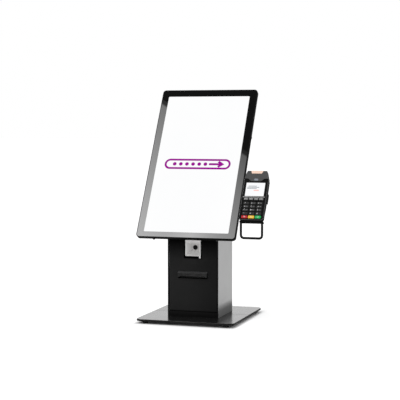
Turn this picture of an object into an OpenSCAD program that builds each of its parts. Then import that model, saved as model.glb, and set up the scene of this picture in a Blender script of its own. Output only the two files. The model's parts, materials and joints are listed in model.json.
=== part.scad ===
// Countertop self-service kiosk: a tilted portrait touch display on a box pedestal,
// with a code scanner and a receipt printer behind its door, and a payment terminal
// in a tilting cradle at the right of the display.
// The front faces -Y, +X is to the right, and Z = 0 is the counter.

/* [Base] */
// Width of the base
base_w = 310; // [260:1:400]
// Depth of the base
base_d = 340; // [290:1:420]
// Thickness of the steel base plate
base_t = 4; // [3:0.5:8]
// Thickness of the deck sheets that cover the base plate
deck_t = 2; // [1:0.5:4]
// Corner radius of the base
base_corner_r = 18; // [6:1:40]
// Distance of the deck seam behind the middle of the base
deck_seam_y = 10; // [-30:1:50]
// Gap between the deck sheets, and between a deck sheet and the pedestal
deck_gap = 0.6; // [0.2:0.1:1.5]
// Diameter of a rubber foot
foot_d = 17; // [12:0.5:28]
// Height of a rubber foot
foot_h = 8; // [4:0.5:16]
// Distance from the side edges of the base to a foot's axis
foot_inset_x = 26; // [16:1:40]
// Distance from the front and back edges of the base to a foot's axis
foot_inset_y = 20; // [16:1:40]
// Diameter of the counter bolt holes inside the feet
counter_bolt_d = 6; // [4:0.5:8]

/* [Pedestal] */
// Width of the pedestal
pedestal_w = 164; // [140:1:200]
// Depth of the pedestal
pedestal_d = 154; // [136:1:190]
// Height of the pedestal above the base plate
pedestal_h = 288; // [256:1:330]
// Sheet thickness of the pedestal
shell_t = 2; // [1:0.5:3]
// Width of the folded front posts
post_w = 4.8; // [3.2:0.2:6]
// Depth of the folded front posts
post_d = 12; // [8:1:16]
// Height of the sill under the door
sill_h = 17.5; // [14:0.5:22]
// Depth of the sill and of the header rail
rail_d = 12; // [9:1:14]
// Width of the foot flanges inside the pedestal
flange_w = 16; // [12:1:18]
// Distance of the flange screws from the pedestal's front and back
flange_screw_inset = 35; // [24:1:50]
// Thickness of the pedestal top
top_t = 3; // [2:0.5:5]
// Height of the header over the scanner's funnel
header_gap = 1.5; // [1:0.1:4]
// Height of the header rail that holds the upper hinge pin
header_rail_h = 8; // [6:1:12]
// Number of vent slots in the back
vent_count = 7; // [3:1:9]
// Length of a vent slot
vent_l = 90; // [40:1:110]
// Height of a vent slot
vent_h = 3; // [2:0.5:5]
// Distance between vent slots
vent_pitch = 9; // [7:1:12]

/* [Door] */
// Sheet thickness of the door
door_t = 1.5; // [1:0.25:2.5]
// Gap between the door and its frame
door_gap = 0.7; // [0.5:0.1:1.2]
// Radius of the rolled hinge edge
barrel_r = 3.2; // [2.8:0.1:4]
// Depth of the folded closing edge
door_return_d = 10; // [4:1:11]
// Diameter of the hinge pins
hinge_pin_d = 4; // [3:0.5:4.5]
// Length of a hinge pin inside the door's rolled edge
hinge_pin_grip = 12; // [6:1:20]
// Length of the lower hinge pin inside the sill
hinge_pin_root = 10; // [6:1:13]

/* [Scanner] */
// Height of the scanner's axis above the base plate
scanner_h = 214; // [190:1:216]
// Width of the funnel at its mouth
funnel_w = 49; // [44:1:58]
// Width of the funnel's floor
funnel_floor_w = 17; // [16:1:26]
// Depth of the funnel
funnel_depth = 25; // [18:1:30]
// Wall thickness of the funnel
funnel_t = 1.5; // [1:0.25:2]
// Distance of the funnel's mouth behind the door's face
funnel_setback = 0.8; // [0.4:0.1:2]
// Diameter of the scanner window
window_d = 15; // [10:0.5:16]
// Width of the door notch at the sides of the funnel
notch_side = 4.5; // [3:0.5:8]
// Height of the door notch under the funnel
notch_under = 7.5; // [3:0.5:10]
// Width of the flange behind the funnel's mouth
funnel_flange = 4.5; // [3:0.5:8]
// Gap between the door and the tab that carries the funnel
tab_gap = 2; // [1:0.5:4]
// Sheet thickness of the tab
tab_t = 1.5; // [1:0.25:2.5]
// Width of the tab at the sides of the funnel
tab_side = 15; // [9:1:20]
// Height of the tab under the door notch
tab_under = 10; // [4:1:16]
// Width of the catch under the funnel's right corner
catch_w = 5; // [3:0.5:8]
// Thickness of the catch
catch_t = 1.5; // [1:0.25:2]
// Gap between the catch and the lower edge of the door notch
catch_gap = 1.5; // [0.5:0.1:2.5]
// Play of the funnel in the tab's hole
tab_play = 0.5; // [0.2:0.1:1]
// Width of the scanner engine
engine_w = 30; // [28:1:44]
// Depth of the scanner engine
engine_d = 20; // [14:1:22]
// Height of the scanner engine
engine_h = 26; // [18:1:28]

/* [Printer] */
// Height of the printer mouth above the base plate
mouth_h = 131; // [116:1:134]
// Width of the printer bezel
bezel_w = 94; // [85:1:110]
// Height of the printer bezel
bezel_h = 22; // [20:0.5:26]
// How far the printer bezel stands out of the door
bezel_out = 7.5; // [4:0.5:12]
// Height of the slopes at the top and bottom of the bezel
bezel_slope = 5; // [1:0.5:5]
// How far the bezel laps over the door's opening above and below
bezel_lap = 4; // [1:0.5:4]
// Depth of the bezel's plug behind the door
plug_d = 4; // [2:0.5:6]
// Wall of the bezel's plug beside the receipt slot
plug_wall = 1.1; // [0.8:0.1:2]
// Height of the receipt slot
slot_h = 2.4; // [1.6:0.2:3.6]
// Room beside the paper in the receipt slot
slot_play = 0.6; // [0.3:0.1:1.5]
// Distance of the paper path below the bezel's middle
paper_drop = 4.5; // [0.5:0.1:4.8]
// Height of the printer mouth above the printer shelf
printer_rise = 59; // [57:1:66]
// Thickness of the shelf and of the printer's floor
shelf_t = 2; // [1:0.5:3]
// Distance of the shelf behind the front posts
shelf_setback = 5; // [2:1:10]
// Height of the shelf's side flanges
shelf_lip = 12; // [6:1:16]
// Distance of the printer frame behind the pedestal's front
printer_setback = 19; // [16:1:28]
// Depth of the printer frame
frame_l = 86; // [78:1:96]
// Wall thickness of the printer frame
frame_wall = 3; // [2:0.5:4]
// Height of the side walls above the rear wall
rear_wall_drop = 15; // [8:1:24]
// Diameter of the paper roll
roll_d = 50; // [40:1:54]
// Width of the paper roll
roll_w = 80; // [58:1:88]
// Diameter of the paper roll's core
core_d = 12; // [10:1:16]
// Distance of the paper roll's axis behind the printer frame's front
roll_setback = 46; // [44:1:50]
// Height of the paper roll above the printer's floor
roll_lift = 4; // [2:0.5:5]
// Room beside the paper roll
roll_side = 7; // [6.5:0.5:12]
// Reach of a hub into the paper roll's core
hub_reach = 4; // [2:0.5:12]
// Depth of the print head
head_d = 12; // [10:1:14]
// Height of the print head
head_h = 8; // [5:0.5:10]
// Diameter of the platen roller
platen_d = 10; // [8:0.5:12]
// How far the platen reaches past the paper at a side
platen_over = 0.5; // [0.2:0.1:1]
// Diameter of the platen's shaft
platen_shaft_d = 5; // [3:0.5:6]
// How far the shaft reaches past a lug
shaft_over = 0.5; // [0.2:0.1:0.9]
// Thickness of the lugs that carry the platen
lug_t = 3; // [2:0.5:3.5]
// Width of the lugs that carry the platen
lug_w = 9; // [8:0.5:11]
// Gap between the platen's end and a lug
lug_gap = 1.5; // [0.5:0.1:1.6]
// Thickness of the printer cover
cover_t = 3; // [2:0.5:3.5]
// Height of the cover plate above the printer mouth
cover_rise = 9.5; // [9:0.5:12]
// Gap between the cover and a side wall
cover_gap = 1; // [0.4:0.1:1.4]
// Radius of the cover's hinge barrel
cover_barrel_r = 5; // [4:0.5:5.5]
// Diameter of the printer cover's trunnions
trunnion_d = 6; // [4:0.5:7]
// Height of the trunnions above the printer mouth
trunnion_rise = 8; // [7:0.5:9]
// Distance of the trunnions in front of the printer frame's back
trunnion_inset = 6; // [5.5:0.5:12]

/* [Power] */
// Width of the power supply
psu_w = 70; // [50:1:80]
// Depth of the power supply
psu_d = 105; // [70:1:120]
// Height of the power supply
psu_h = 34; // [20:1:44]
// Gap between the power supply and the left foot flange
psu_gap = 2.5; // [0.5:0.5:8]
// Width of the power inlet's body
inlet_w = 27; // [22:1:32]
// Height of the power inlet's body
inlet_h = 20; // [16:1:24]
// Depth of the power inlet's body
inlet_d = 18; // [12:1:20]
// Distance of the inlet's axis from the right side wall
inlet_inset = 34.5; // [24:0.5:60]
// Height of the inlet's axis above the base plate
inlet_rise = 30; // [20:1:60]
// Width of the inlet's collar
inlet_lip = 4; // [2:0.5:6]
// Thickness of the inlet's collar
inlet_lip_t = 2.5; // [1.5:0.5:4]
// Wall thickness of the inlet
inlet_wall = 3; // [2:0.5:4]
// Distance between the contact blades
blade_pitch = 7; // [5:0.5:7.5]
// Width of a contact blade
blade_w = 2; // [1:0.25:3]
// Height of a contact blade
blade_h = 4; // [2:0.5:6]

/* [Display] */
// Angle of the display back from upright
display_tilt = 30; // [26:1:34]
// Gap between the display's rear cover and the front edge of the pedestal top
edge_gap = 6.7; // [5.5:0.1:14]
// Distance of the glass centre in front of the pedestal's axis
display_forward = 27; // [22:1:34]
// Width of the cover glass
glass_w = 314; // [270:1:360]
// Height of the cover glass
glass_h = 520; // [460:1:590]
// Thickness of the cover glass
glass_t = 3; // [2:0.5:4]
// Corner radius of the cover glass
glass_corner_r = 10; // [5:1:20]
// Depth of the edge frame behind the glass
frame_d = 10; // [8:0.5:14]
// Distance of the panel's sides inside the glass edge
panel_rim_x = 11; // [9:0.5:16]
// Distance of the panel's ends inside the glass edge
panel_rim_y = 12; // [12:0.5:18]
// Distance of the panel's centre below the glass centre
panel_drop = 3; // [0:0.5:4]
// Gap between the display panel and the edge frame
panel_gap = 1; // [0.5:0.5:2]
// Sheet thickness of the chassis
chassis_t = 2; // [1:0.5:3]
// Distance of the chassis edge inside the glass edge
chassis_inset = 7; // [4:1:9]
// Distance of the rear cover's sides inside the glass edge
rear_inset_x = 22; // [21:0.5:30]
// Distance of the rear cover's ends inside the glass edge
rear_inset_y = 40; // [34:0.5:50]
// Depth of the rear cover
rear_d = 30; // [26:1:36]
// Distance of the rear cover's centre above the glass centre
rear_rise = 15; // [6:1:22]
// Wall thickness of the rear cover
rear_t = 2; // [1.5:0.5:3]
// Corner radius of the rear cover
rear_corner_r = 16; // [6:1:30]
// Number of vent slots in the rear cover
rear_vent_rows = 14; // [4:1:16]
// Length of a vent slot in the rear cover
rear_vent_l = 120; // [60:1:180]
// Height of a vent slot in the rear cover
rear_vent_h = 3; // [2:0.5:5]
// Distance between the vent slots in the rear cover
rear_vent_pitch = 8; // [6:0.5:9]
// Width of the way out for cables
cable_gap_w = 60; // [20:1:90]
// Depth of the way out for cables
cable_gap_d = 14; // [6:1:18]
// Width of the main board
main_board_w = 170; // [120:1:200]
// Height of the main board
main_board_h = 120; // [90:1:140]
// Distance of the main board's centre above the glass centre
main_board_rise = 60; // [20:1:80]
// Height of the main board's spacers
main_board_stand = 4; // [2:0.5:8]
// Diameter of the main board's spacers
spacer_d = 6; // [4:0.5:10]
// Distance of the spacers from the main board's edges
spacer_inset = 6; // [5:0.5:12]
// Width of the heat sink on the main board
heat_sink_w = 60; // [30:1:80]
// Thickness of the heat sink on the main board
heat_sink_t = 12; // [6:1:16]
// Width of the port block on the main board
port_w = 80; // [40:1:110]
// Height of the port block on the main board
port_h = 14; // [8:1:18]
// Thickness of the port block on the main board
port_t = 10; // [6:1:16]
// Length of an edge button
button_l = 7; // [5:0.5:10]
// Width of an edge button
button_w = 4; // [3:0.5:5]
// How far the side button stands out
button_out = 2; // [1.2:0.1:3]
// How far a lower button stands out
lower_button_out = 4; // [1.2:0.1:5]
// Length of an edge button inside the edge frame
button_deep = 5; // [3:0.5:6]
// Travel of an edge button
button_travel = 1; // [0.6:0.1:1.2]
// Distance of the power button and the menu button from the middle
lower_button_x = 100; // [40:1:120]
// Distance of the side button above the middle
side_button_v = 90; // [40:1:200]

/* [Head bracket] */
// Sheet thickness of the head bracket and of the terminal's arm
bracket_t = 4; // [3:0.5:5]
// Width of the head bracket's plates
bracket_w = 110; // [100:1:130]
// Height of the head bracket's display plate
bracket_plate_h = 120; // [100:1:134]
// Height of the display plate's lower edge above the pedestal top
bracket_clear = 14; // [8:1:20]
// Distance of the side cheeks from the ends of the plates
cheek_inset = 4; // [0:1:8]
// Spacing of the display plate's screws
vesa_pitch = 75; // [60:1:84]
// Length of the head bracket's foot
bracket_foot_d = 115; // [100:1:128]
// Distance of the foot's centre behind the pedestal's axis
bracket_foot_y = 3; // [0:1:8]
// Distance of the foot's screws from the middle
bracket_screw_x = 30; // [20:1:36]
// Distance of the foot's screws from its ends
bracket_screw_inset = 14; // [10:1:18]

/* [Screws] */
// Thread diameter of the machine screws
screw_d = 5; // [4:0.5:5.5]
// Length of a machine screw under its head
screw_l = 5.5; // [4.5:0.1:6]
// Diameter of a screw head
screw_head_d = 9; // [7:0.5:10]
// Height of a screw head
screw_head_h = 3; // [2:0.5:4]

/* [Terminal] */
// Gap between the display's edge and the terminal's side
term_gap = 7.5; // [6:0.5:20]
// Distance of the terminal's centre below the glass centre
term_drop = 122; // [100:1:140]
// Width of the terminal
term_w = 75; // [66:0.5:86]
// Length of the terminal
term_l = 163; // [144:1:184]
// Width of the terminal's top end
term_top_w = 60; // [54:1:66]
// Length of the tapered top end
term_taper_l = 25.5; // [16:0.5:29]
// Corner radius at the terminal's bottom end
term_corner_r = 8; // [4:1:14]
// Height of the terminal's face in front of the glass
term_face = 20; // [18:0.5:24]
// Height of the upper housing
top_housing_h = 14; // [13:0.5:16]
// Height of the lower housing
base_housing_h = 14; // [11:0.5:16]
// Wall thickness of the housings
housing_t = 3; // [2:0.5:3.5]
// Thickness of the upper housing's face
face_t = 5; // [4:0.5:6]
// Length of the slope at the lower end of the terminal's back
wedge_l = 50; // [40:1:60]
// Rise of the slope at the lower end of the terminal's back
wedge_h = 10; // [4:0.5:10.5]
// Distance of the lower housing's edge inside the upper housing's edge
housing_step = 2.5; // [2.4:0.1:3.5]
// Diameter of the posts that carry the circuit board
board_post_d = 5; // [4:0.5:7]
// Distance of the posts from the ends of the terminal
board_post_inset = 15; // [12:0.5:20]
// Distance of the posts inside the sides of the terminal's top end
board_post_side = 10; // [9:0.5:16]
// Height of the posts above the lower housing
board_post_over = 1; // [0.5:0.1:1.5]
// Thickness of the circuit boards
board_t = 1.6; // [1:0.2:2]
// Gap between the circuit board and the housing walls
board_gap = 1.5; // [0.5:0.1:3]
// Distance of the display's sides from the terminal's sides
lcd_side = 8; // [7:0.5:14]
// Gap between the display and the function keys
lcd_low_gap = 5.75; // [4.5:0.25:10]
// Gap between the display and the hood
lcd_high_gap = 3.75; // [2.75:0.25:10]
// Length of the ledge between the display and the function keys
ledge_w = 67; // [40:1:70]
// Width of the ledge between the display and the function keys
ledge_h = 3; // [1.5:0.25:4]
// How far the ledge stands out of the face
ledge_out = 0.8; // [0.4:0.1:1.5]
// Width of the display's border under the housing's face
lcd_border = 2; // [1:0.25:3]
// Thickness of the display behind the housing's face
lcd_back_t = 3; // [2:0.25:4]
// Depth of the display's face under the housing's face
lcd_sunk = 0.6; // [0.2:0.1:1]
// Play of the display in its opening
lcd_play = 0.2; // [0.1:0.05:0.4]

/* [Hood] */
// Distance of the hood's shoulders inside the terminal's sides
hood_side = 0.5; // [0:0.1:2]
// Distance of the hood's shoulders from the top end
hood_shoulder = 26; // [20:0.5:29]
// Length of the tongue under the hood's shoulders
hood_tongue_l = 9; // [5:0.5:10]
// Width of the tongue at the hood
hood_tongue_w = 50; // [36:1:54]
// Width of the tongue's end
hood_tongue_end_w = 30; // [20:1:36]
// Length of the hood's rounding into the tongue
hood_tongue_step = 1; // [0.5:0.25:3]
// Height of the hood at its lower end
hood_low = 2.5; // [1.5:0.5:4]
// Height of the hood at its ridge
hood_high = 5; // [4:0.5:8]
// Height of the hood at the top end
hood_top = 2; // [1:0.5:4]
// Distance of the hood's ridge from the top end
hood_ridge = 11; // [8:0.5:14]
// Width of the contactless patch at the top end
patch_w = 38; // [30:1:44]
// Width of the contactless patch at the ridge
patch_low_w = 31; // [24:1:38]
// Thickness of the contactless patch
patch_t = 0.5; // [0.3:0.1:1]

/* [Keys] */
// Distance of the outer keys from the terminal's sides
key_side = 7.55; // [6:0.05:10]
// Distance of the last key row from the terminal's lower end
key_low = 5.3; // [5:0.1:8]
// Height of a number key
key_h = 9.2; // [7:0.2:10.4]
// Space between neighbouring number keys
key_spacing = 2.2; // [2:0.1:3]
// Height of a function key
fkey_h = 6.5; // [5:0.5:7.5]
// Space between neighbouring function keys
fkey_spacing = 2.6; // [2:0.1:4]
// Space between the number keys and the function keys
fkey_gap = 6.15; // [3.5:0.05:8]
// How far a key stands out of the key field
key_out = 2.3; // [1.6:0.1:3]
// How far a function key stands out of the face
fkey_out = 0.9; // [0.6:0.1:1.5]
// Depth of the key field under the face
field_depth = 2; // [1:0.25:2.5]
// Margin of the key field around the keys
field_margin = 1.4; // [1:0.1:1.6]
// Corner radius of the keys
key_corner_r = 1.2; // [0.5:0.1:2]
// Gap around a key
key_gap = 0.3; // [0.2:0.05:0.4]
// Width of the lip that keeps a key in
key_lip = 0.8; // [0.5:0.1:0.9]
// Thickness of the lip that keeps a key in
key_lip_t = 2; // [1:0.25:2.25]
// Travel of a key
key_travel = 1.2; // [0.6:0.1:1.3]

/* [Cradle and hoop] */
// Thickness of the cradle's back plate
cradle_t = 3; // [2:0.5:4]
// Width of the cradle's back plate
cradle_w = 60; // [50:1:66]
// Reach of the back plate above the terminal's centre
cradle_reach = 45; // [20:1:55]
// Thickness of the shelf under the terminal
cradle_shelf_t = 3; // [2.5:0.5:5]
// Depth of the shelf under the terminal
cradle_shelf_d = 14; // [13:1:24]
// Width of the shelf beside the hoop
cradle_shelf_side = 1; // [0.5:0.25:4]
// Radius of the shelf's front corners
cradle_corner_r = 6; // [2:0.5:8]
// Length of the side clips
clip_l = 30; // [15:1:40]
// Thickness of the side clips
clip_t = 2; // [1.5:0.25:2.5]
// Height of the side clips over the back plate
clip_h = 10; // [5:0.5:12]
// Diameter of the tilt pin
tilt_pin_d = 6; // [4:0.5:7]
// Width of the tilt pin's collars around the pin
pin_collar_w = 1.5; // [1:0.25:2]
// Thickness of the tilt pin's collars
pin_collar_t = 1.5; // [1:0.25:3]
// Radius of the tilt hinge's knuckles
knuckle_r = 5; // [4.5:0.25:6]
// Length of the arm's knuckle
arm_knuckle_l = 14; // [8:1:18]
// Length of a cradle knuckle
cradle_knuckle_l = 5.5; // [4:0.5:8]
// Gap between the knuckles
knuckle_gap = 0.4; // [0.2:0.1:1]
// Distance of the tilt axis behind the back plate
tilt_back = 8; // [7:0.5:10]
// Width of the arm
arm_w = 30; // [26:1:34]
// Distance of the arm behind the knuckles
arm_stand = 2; // [1:0.5:5]
// Reach of the arm past its knuckle
arm_over = 3; // [1:0.5:6]
// Gap between the rear cover and the arm's foot
arm_foot_gap = 3; // [1:0.5:6]
// Length of the arm's foot
arm_foot_w = 18; // [15:0.5:21]
// Distance of the arm's screws from the end of its foot
arm_screw_inset = 6; // [5.5:0.5:7]
// Distance between the arm's screws
arm_screw_pitch = 18; // [12:1:20]
// Diameter of the hoop's rod
hoop_d = 7; // [5:0.5:8]
// Width of the hoop over its rods
hoop_w = 72; // [60:1:80]
// Drop from the shelf to the axis of the hoop's lower bar
hoop_drop = 46; // [32:0.5:60]
// Bend radius of the hoop
hoop_bend_r = 9; // [7:0.5:16]
// Distance of the hoop's seat in front of the shelf's back edge
hoop_seat = 6; // [5.5:0.5:9]

/* [Clearances] */
// Radial play of a running pin
pin_play = 0.05; // [0.02:0.01:0.1]
// Gap between moving pieces that don't touch
run_gap = 0.3; // [0.2:0.05:0.4]
// Radial play of a screw in a clearance hole
screw_play = 0.2; // [0.1:0.05:0.4]

/* [Hidden] */
$fn = 64;
// Overshoot that keeps cuts clean
cut = 1;

// Levels of the base and pedestal
plate_z = foot_h + base_t;
deck_z = plate_z + deck_t;
top_z = plate_z + pedestal_h;
shell_h = pedestal_h - top_t;
front_y = -pedestal_d / 2;
back_y = pedestal_d / 2;
opening_w = pedestal_w - 2 * post_w;
inner_w = pedestal_w - 2 * shell_t;
foot_x = base_w / 2 - foot_inset_x;
foot_y = base_d / 2 - foot_inset_y;
foot_places = [for (x = [-1, 1], y = [-1, 1]) [x * foot_x, y * foot_y]];
flange_screw_y = pedestal_d / 2 - flange_screw_inset;
flange_screws = [for (x = [-1, 1], y = [-1, 1]) [x * (inner_w - flange_w) / 2, y * flange_screw_y]];

// Scanner
scanner_z = plate_z + scanner_h;
header_z = scanner_z + funnel_w / 2 + header_gap;
funnel_y = front_y + funnel_setback;
floor_back_y = funnel_y + funnel_depth + funnel_t;
tab_y = front_y + door_t + tab_gap;
notch_w = funnel_w + 2 * notch_side;
notch_z = scanner_z - funnel_w / 2 - notch_under;

// Door
door_bottom_z = plate_z + sill_h + door_gap;
door_top_z = header_z - door_gap;
door_w = opening_w - 2 * door_gap;
door_left = -door_w / 2;
hinge_x = door_left + barrel_r;
hinge_y = front_y + barrel_r;

// Printer
mouth_z = plate_z + mouth_h;
receipt_w = roll_w + 2 * slot_play;
plug_w = receipt_w + 2 * plug_wall;
plug_half_h = bezel_h / 2 - bezel_lap - run_gap;
shelf_z = mouth_z - printer_rise - shelf_t;
shelf_front = post_d + shelf_setback;
wall_x = roll_w / 2 + roll_side;
frame_front = front_y + printer_setback;
frame_back = frame_front + frame_l;
roll_y = frame_front + roll_setback;
roll_z = shelf_z + 2 * shelf_t + roll_d / 2 + roll_lift;
paper_z = mouth_z - paper_drop;
head_top_z = paper_z - run_gap;
platen_y = frame_front + head_d / 2;
platen_z = paper_z + platen_d / 2;
lug_x = roll_w / 2 + platen_over + lug_gap;
lid_y = frame_back - trunnion_inset;
lid_z = mouth_z + trunnion_rise;
lid_plate_z = mouth_z + cover_rise;

// Power
psu_x = -(inner_w / 2 - flange_w) + psu_gap;
psu_y = (front_y + rail_d + back_y - shell_t - flange_w) / 2;
inlet_x = inner_w / 2 - inlet_inset;
inlet_z = plate_z + inlet_rise;

// Display, by the distance in front of the glass face
frame_back_r = -(glass_t + frame_d);
chassis_back_r = frame_back_r - chassis_t;
rear_back_r = chassis_back_r - rear_d;
bracket_back_r = rear_back_r - bracket_t;
button_r = -(glass_t + frame_d / 2);
panel_w = glass_w - 2 * panel_rim_x;
panel_h = glass_h - 2 * panel_rim_y;
rear_w = glass_w - 2 * rear_inset_x;
rear_h = glass_h - 2 * rear_inset_y;
glass_y = -display_forward;
// The display stands as low as the pedestal's front edge lets its rear cover
display_rise = ((glass_y - front_y) * cos(display_tilt) - rear_back_r + edge_gap) / sin(display_tilt);
glass_z = top_z + display_rise;

// Head bracket
bracket_low_v = (bracket_clear - display_rise - bracket_back_r * sin(display_tilt)) / cos(display_tilt);
bracket_high_v = bracket_low_v + bracket_plate_h;
bracket_v = (bracket_low_v + bracket_high_v) / 2;
bracket_foot_front = bracket_foot_y - bracket_foot_d / 2;
bracket_foot_rear = bracket_foot_y + bracket_foot_d / 2;
bracket_screws = [for (x = [-1, 1], y = [bracket_foot_front + bracket_screw_inset,
                                         bracket_foot_rear - bracket_screw_inset])
    [x * bracket_screw_x, y]];
vesa_screws = [for (x = [-1, 1], y = [-1, 1]) [x * vesa_pitch / 2, bracket_v + y * vesa_pitch / 2]];

// Terminal, by the distance in front of the glass face
term_x = glass_w / 2 + term_gap + term_w / 2;
term_v = -term_drop;
seam_r = term_face - top_housing_h;
back_r = seam_r - base_housing_h;
face_back_r = term_face - face_t;
field_r = term_face - field_depth;
board_r = seam_r + board_post_over;
key_bottom_r = board_r + board_t + key_travel + run_gap;
lip_top_r = face_back_r - run_gap;
hood_w = term_w - 2 * hood_side;
hood_low_v = term_l / 2 - hood_shoulder - hood_tongue_l;

// Keys, upwards from the terminal's lower end, and the display between them and the hood
number_keys = ["key_1", "key_2", "key_3", "key_4", "key_5", "key_6", "key_7", "key_8", "key_9",
               "key_star", "key_0", "key_hash", "key_cancel", "key_clear", "key_enter"];
function_keys = ["function_key_1", "function_key_2", "function_key_3", "function_key_4"];
colour_row = 12;
key_colours = ["firebrick", "gold", "seagreen"];
key_columns = 3;
key_rows = len(number_keys) / key_columns;
key_w = (term_w - 2 * key_side - (key_columns - 1) * key_spacing) / key_columns;
fkey_w = (term_w - 2 * key_side - (len(function_keys) - 1) * fkey_spacing) / len(function_keys);
key_pitch_x = key_w + key_spacing;
key_pitch_y = key_h + key_spacing;
fkey_pitch = fkey_w + fkey_spacing;
fkey_v = key_v(0) + key_h / 2 + fkey_gap + fkey_h / 2;
lcd_w = term_w - 2 * lcd_side;
lcd_low_v = fkey_v + fkey_h / 2 + lcd_low_gap;
lcd_h = hood_low_v - lcd_high_gap - lcd_low_v;
lcd_v = lcd_low_v + lcd_h / 2;

// Cradle, tilt hinge, arm and hoop
plate_back_r = back_r - cradle_t;
wedge_v = wedge_l - term_l / 2;
shelf_low_v = -term_l / 2 - cradle_shelf_t;
shelf_back_r = plate_back_r + back_rise(shelf_low_v);
tilt_r = plate_back_r - tilt_back;
hinge_half = arm_knuckle_l / 2 + knuckle_gap + cradle_knuckle_l;
arm_strip_r = tilt_r - knuckle_r - arm_stand;
arm_foot_x = rear_w / 2 + arm_foot_gap;
arm_screw_x = arm_foot_x + arm_screw_inset;
arm_screws = [for (y = [-1, 1]) [arm_screw_x, term_v + y * arm_screw_pitch / 2]];
cradle_shelf_w = hoop_w + 2 * cradle_shelf_side;
hoop_seat_r = shelf_back_r + hoop_seat;
hoop_half = (hoop_w - hoop_d) / 2;
// The hoop hangs upright from the shelf, so it is placed in the kiosk's own frame
hoop_y = head_y(term_v + shelf_low_v, hoop_seat_r);
hoop_seat_z = head_z(term_v + shelf_low_v, hoop_seat_r);
hoop_bottom_z = hoop_seat_z - hoop_drop;

// Rise of the slope of the terminal's back at the height v on the terminal
function back_rise(v) = wedge_h * (wedge_v - v) / wedge_l;

// Place of a point of the display's own frame, by its height v along the glass
// and its distance r in front of the glass face
function head_y(v, r) = glass_y + v * sin(display_tilt) - r * cos(display_tilt);
function head_z(v, r) = glass_z + v * cos(display_tilt) + r * sin(display_tilt);

module at_head() {
    translate([0, glass_y, glass_z]) rotate([90 - display_tilt, 0, 0]) children();
}

module at_terminal() {
    at_head() translate([term_x, term_v, 0]) children();
}

module rounded_rect(w, h, r) {
    square([w - 2 * r, h], center = true);
    square([w, h - 2 * r], center = true);
    for (x = [-1, 1], y = [-1, 1])
        translate([x * (w / 2 - r), y * (h / 2 - r)]) circle(r);
}

module rounded_plate(w, h, r, t) {
    linear_extrude(t) rounded_rect(w, h, r);
}

module box_at(x, y, z) {
    translate([x[0], y[0], z[0]]) cube([x[1] - x[0], y[1] - y[0], z[1] - z[0]]);
}

// A profile drawn in Y and Z, drawn out along X about the middle
module along_x(w) {
    translate([-w / 2, 0, 0]) rotate([90, 0, 90]) linear_extrude(w) children();
}

module rod_x(d, l) {
    translate([-l / 2, 0, 0]) rotate([0, 90, 0]) cylinder(d = d, h = l);
}

module base_plate() {
    color("dimgray")
    difference() {
        translate([0, 0, foot_h]) rounded_plate(base_w, base_d, base_corner_r, base_t);
        for (p = foot_places)
            translate([p[0], p[1], foot_h - cut]) cylinder(d = counter_bolt_d, h = base_t + 2 * cut);
        for (p = flange_screws)
            translate([p[0], p[1], foot_h - cut]) cylinder(d = screw_d, h = base_t + 2 * cut);
    }
}

module deck_sheet() {
    translate([0, 0, plate_z])
    difference() {
        rounded_plate(base_w, base_d, base_corner_r, deck_t);
        box_at([-pedestal_w / 2 - deck_gap, pedestal_w / 2 + deck_gap],
               [front_y - deck_gap, back_y + deck_gap], [-cut, deck_t + cut]);
    }
}

module front_deck() {
    color("dimgray")
    intersection() {
        deck_sheet();
        box_at([-base_w, base_w], [-base_d, deck_seam_y - deck_gap / 2], [plate_z - cut, deck_z + cut]);
    }
}

module rear_deck() {
    color("dimgray")
    intersection() {
        deck_sheet();
        box_at([-base_w, base_w], [deck_seam_y + deck_gap / 2, base_d], [plate_z - cut, deck_z + cut]);
    }
}

module base_feet() {
    color("black")
    for (p = foot_places)
        translate([p[0], p[1], 0])
        difference() {
            cylinder(d = foot_d, h = foot_h);
            translate([0, 0, -cut]) cylinder(d = counter_bolt_d, h = foot_h + 2 * cut);
        }
}

module pedestal_walls() {
    difference() {
        box_at([-pedestal_w / 2, pedestal_w / 2], [front_y, back_y], [plate_z, plate_z + shell_h]);
        box_at([-inner_w / 2, inner_w / 2], [front_y - cut, back_y - shell_t],
               [plate_z - cut, plate_z + shell_h + cut]);
    }
    for (s = [-1, 1])
        translate([s * (pedestal_w - post_w) / 2 - post_w / 2, front_y, plate_z])
            cube([post_w, post_d, shell_h]);
    // foot flanges and the sill under the door
    for (s = [-1, 1])
        translate([s * (inner_w - flange_w) / 2 - flange_w / 2, front_y + rail_d, plate_z])
            cube([flange_w, pedestal_d - rail_d - shell_t, shell_t]);
    box_at([-inner_w / 2, inner_w / 2], [back_y - shell_t - flange_w, back_y - shell_t],
           [plate_z, plate_z + shell_t]);
    box_at([-opening_w / 2, opening_w / 2], [front_y, front_y + rail_d], [plate_z, plate_z + sill_h]);
}

module pedestal_shell() {
    vent_z = plate_z + shell_h / 2;
    color("dimgray")
    difference() {
        pedestal_walls();
        translate([hinge_x, hinge_y, plate_z + sill_h - hinge_pin_root])
            cylinder(d = hinge_pin_d, h = hinge_pin_root + cut);
        for (p = flange_screws)
            translate([p[0], p[1], plate_z - cut])
                cylinder(d = screw_d + 2 * screw_play, h = shell_t + 2 * cut);
        for (i = [0:vent_count - 1])
            translate([-vent_l / 2, back_y - shell_t - cut, vent_z + (i - (vent_count - 1) / 2) * vent_pitch])
                cube([vent_l, shell_t + 2 * cut, vent_h]);
        inlet_hole(inlet_w + 2 * run_gap, inlet_h + 2 * run_gap);
    }
}

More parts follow.
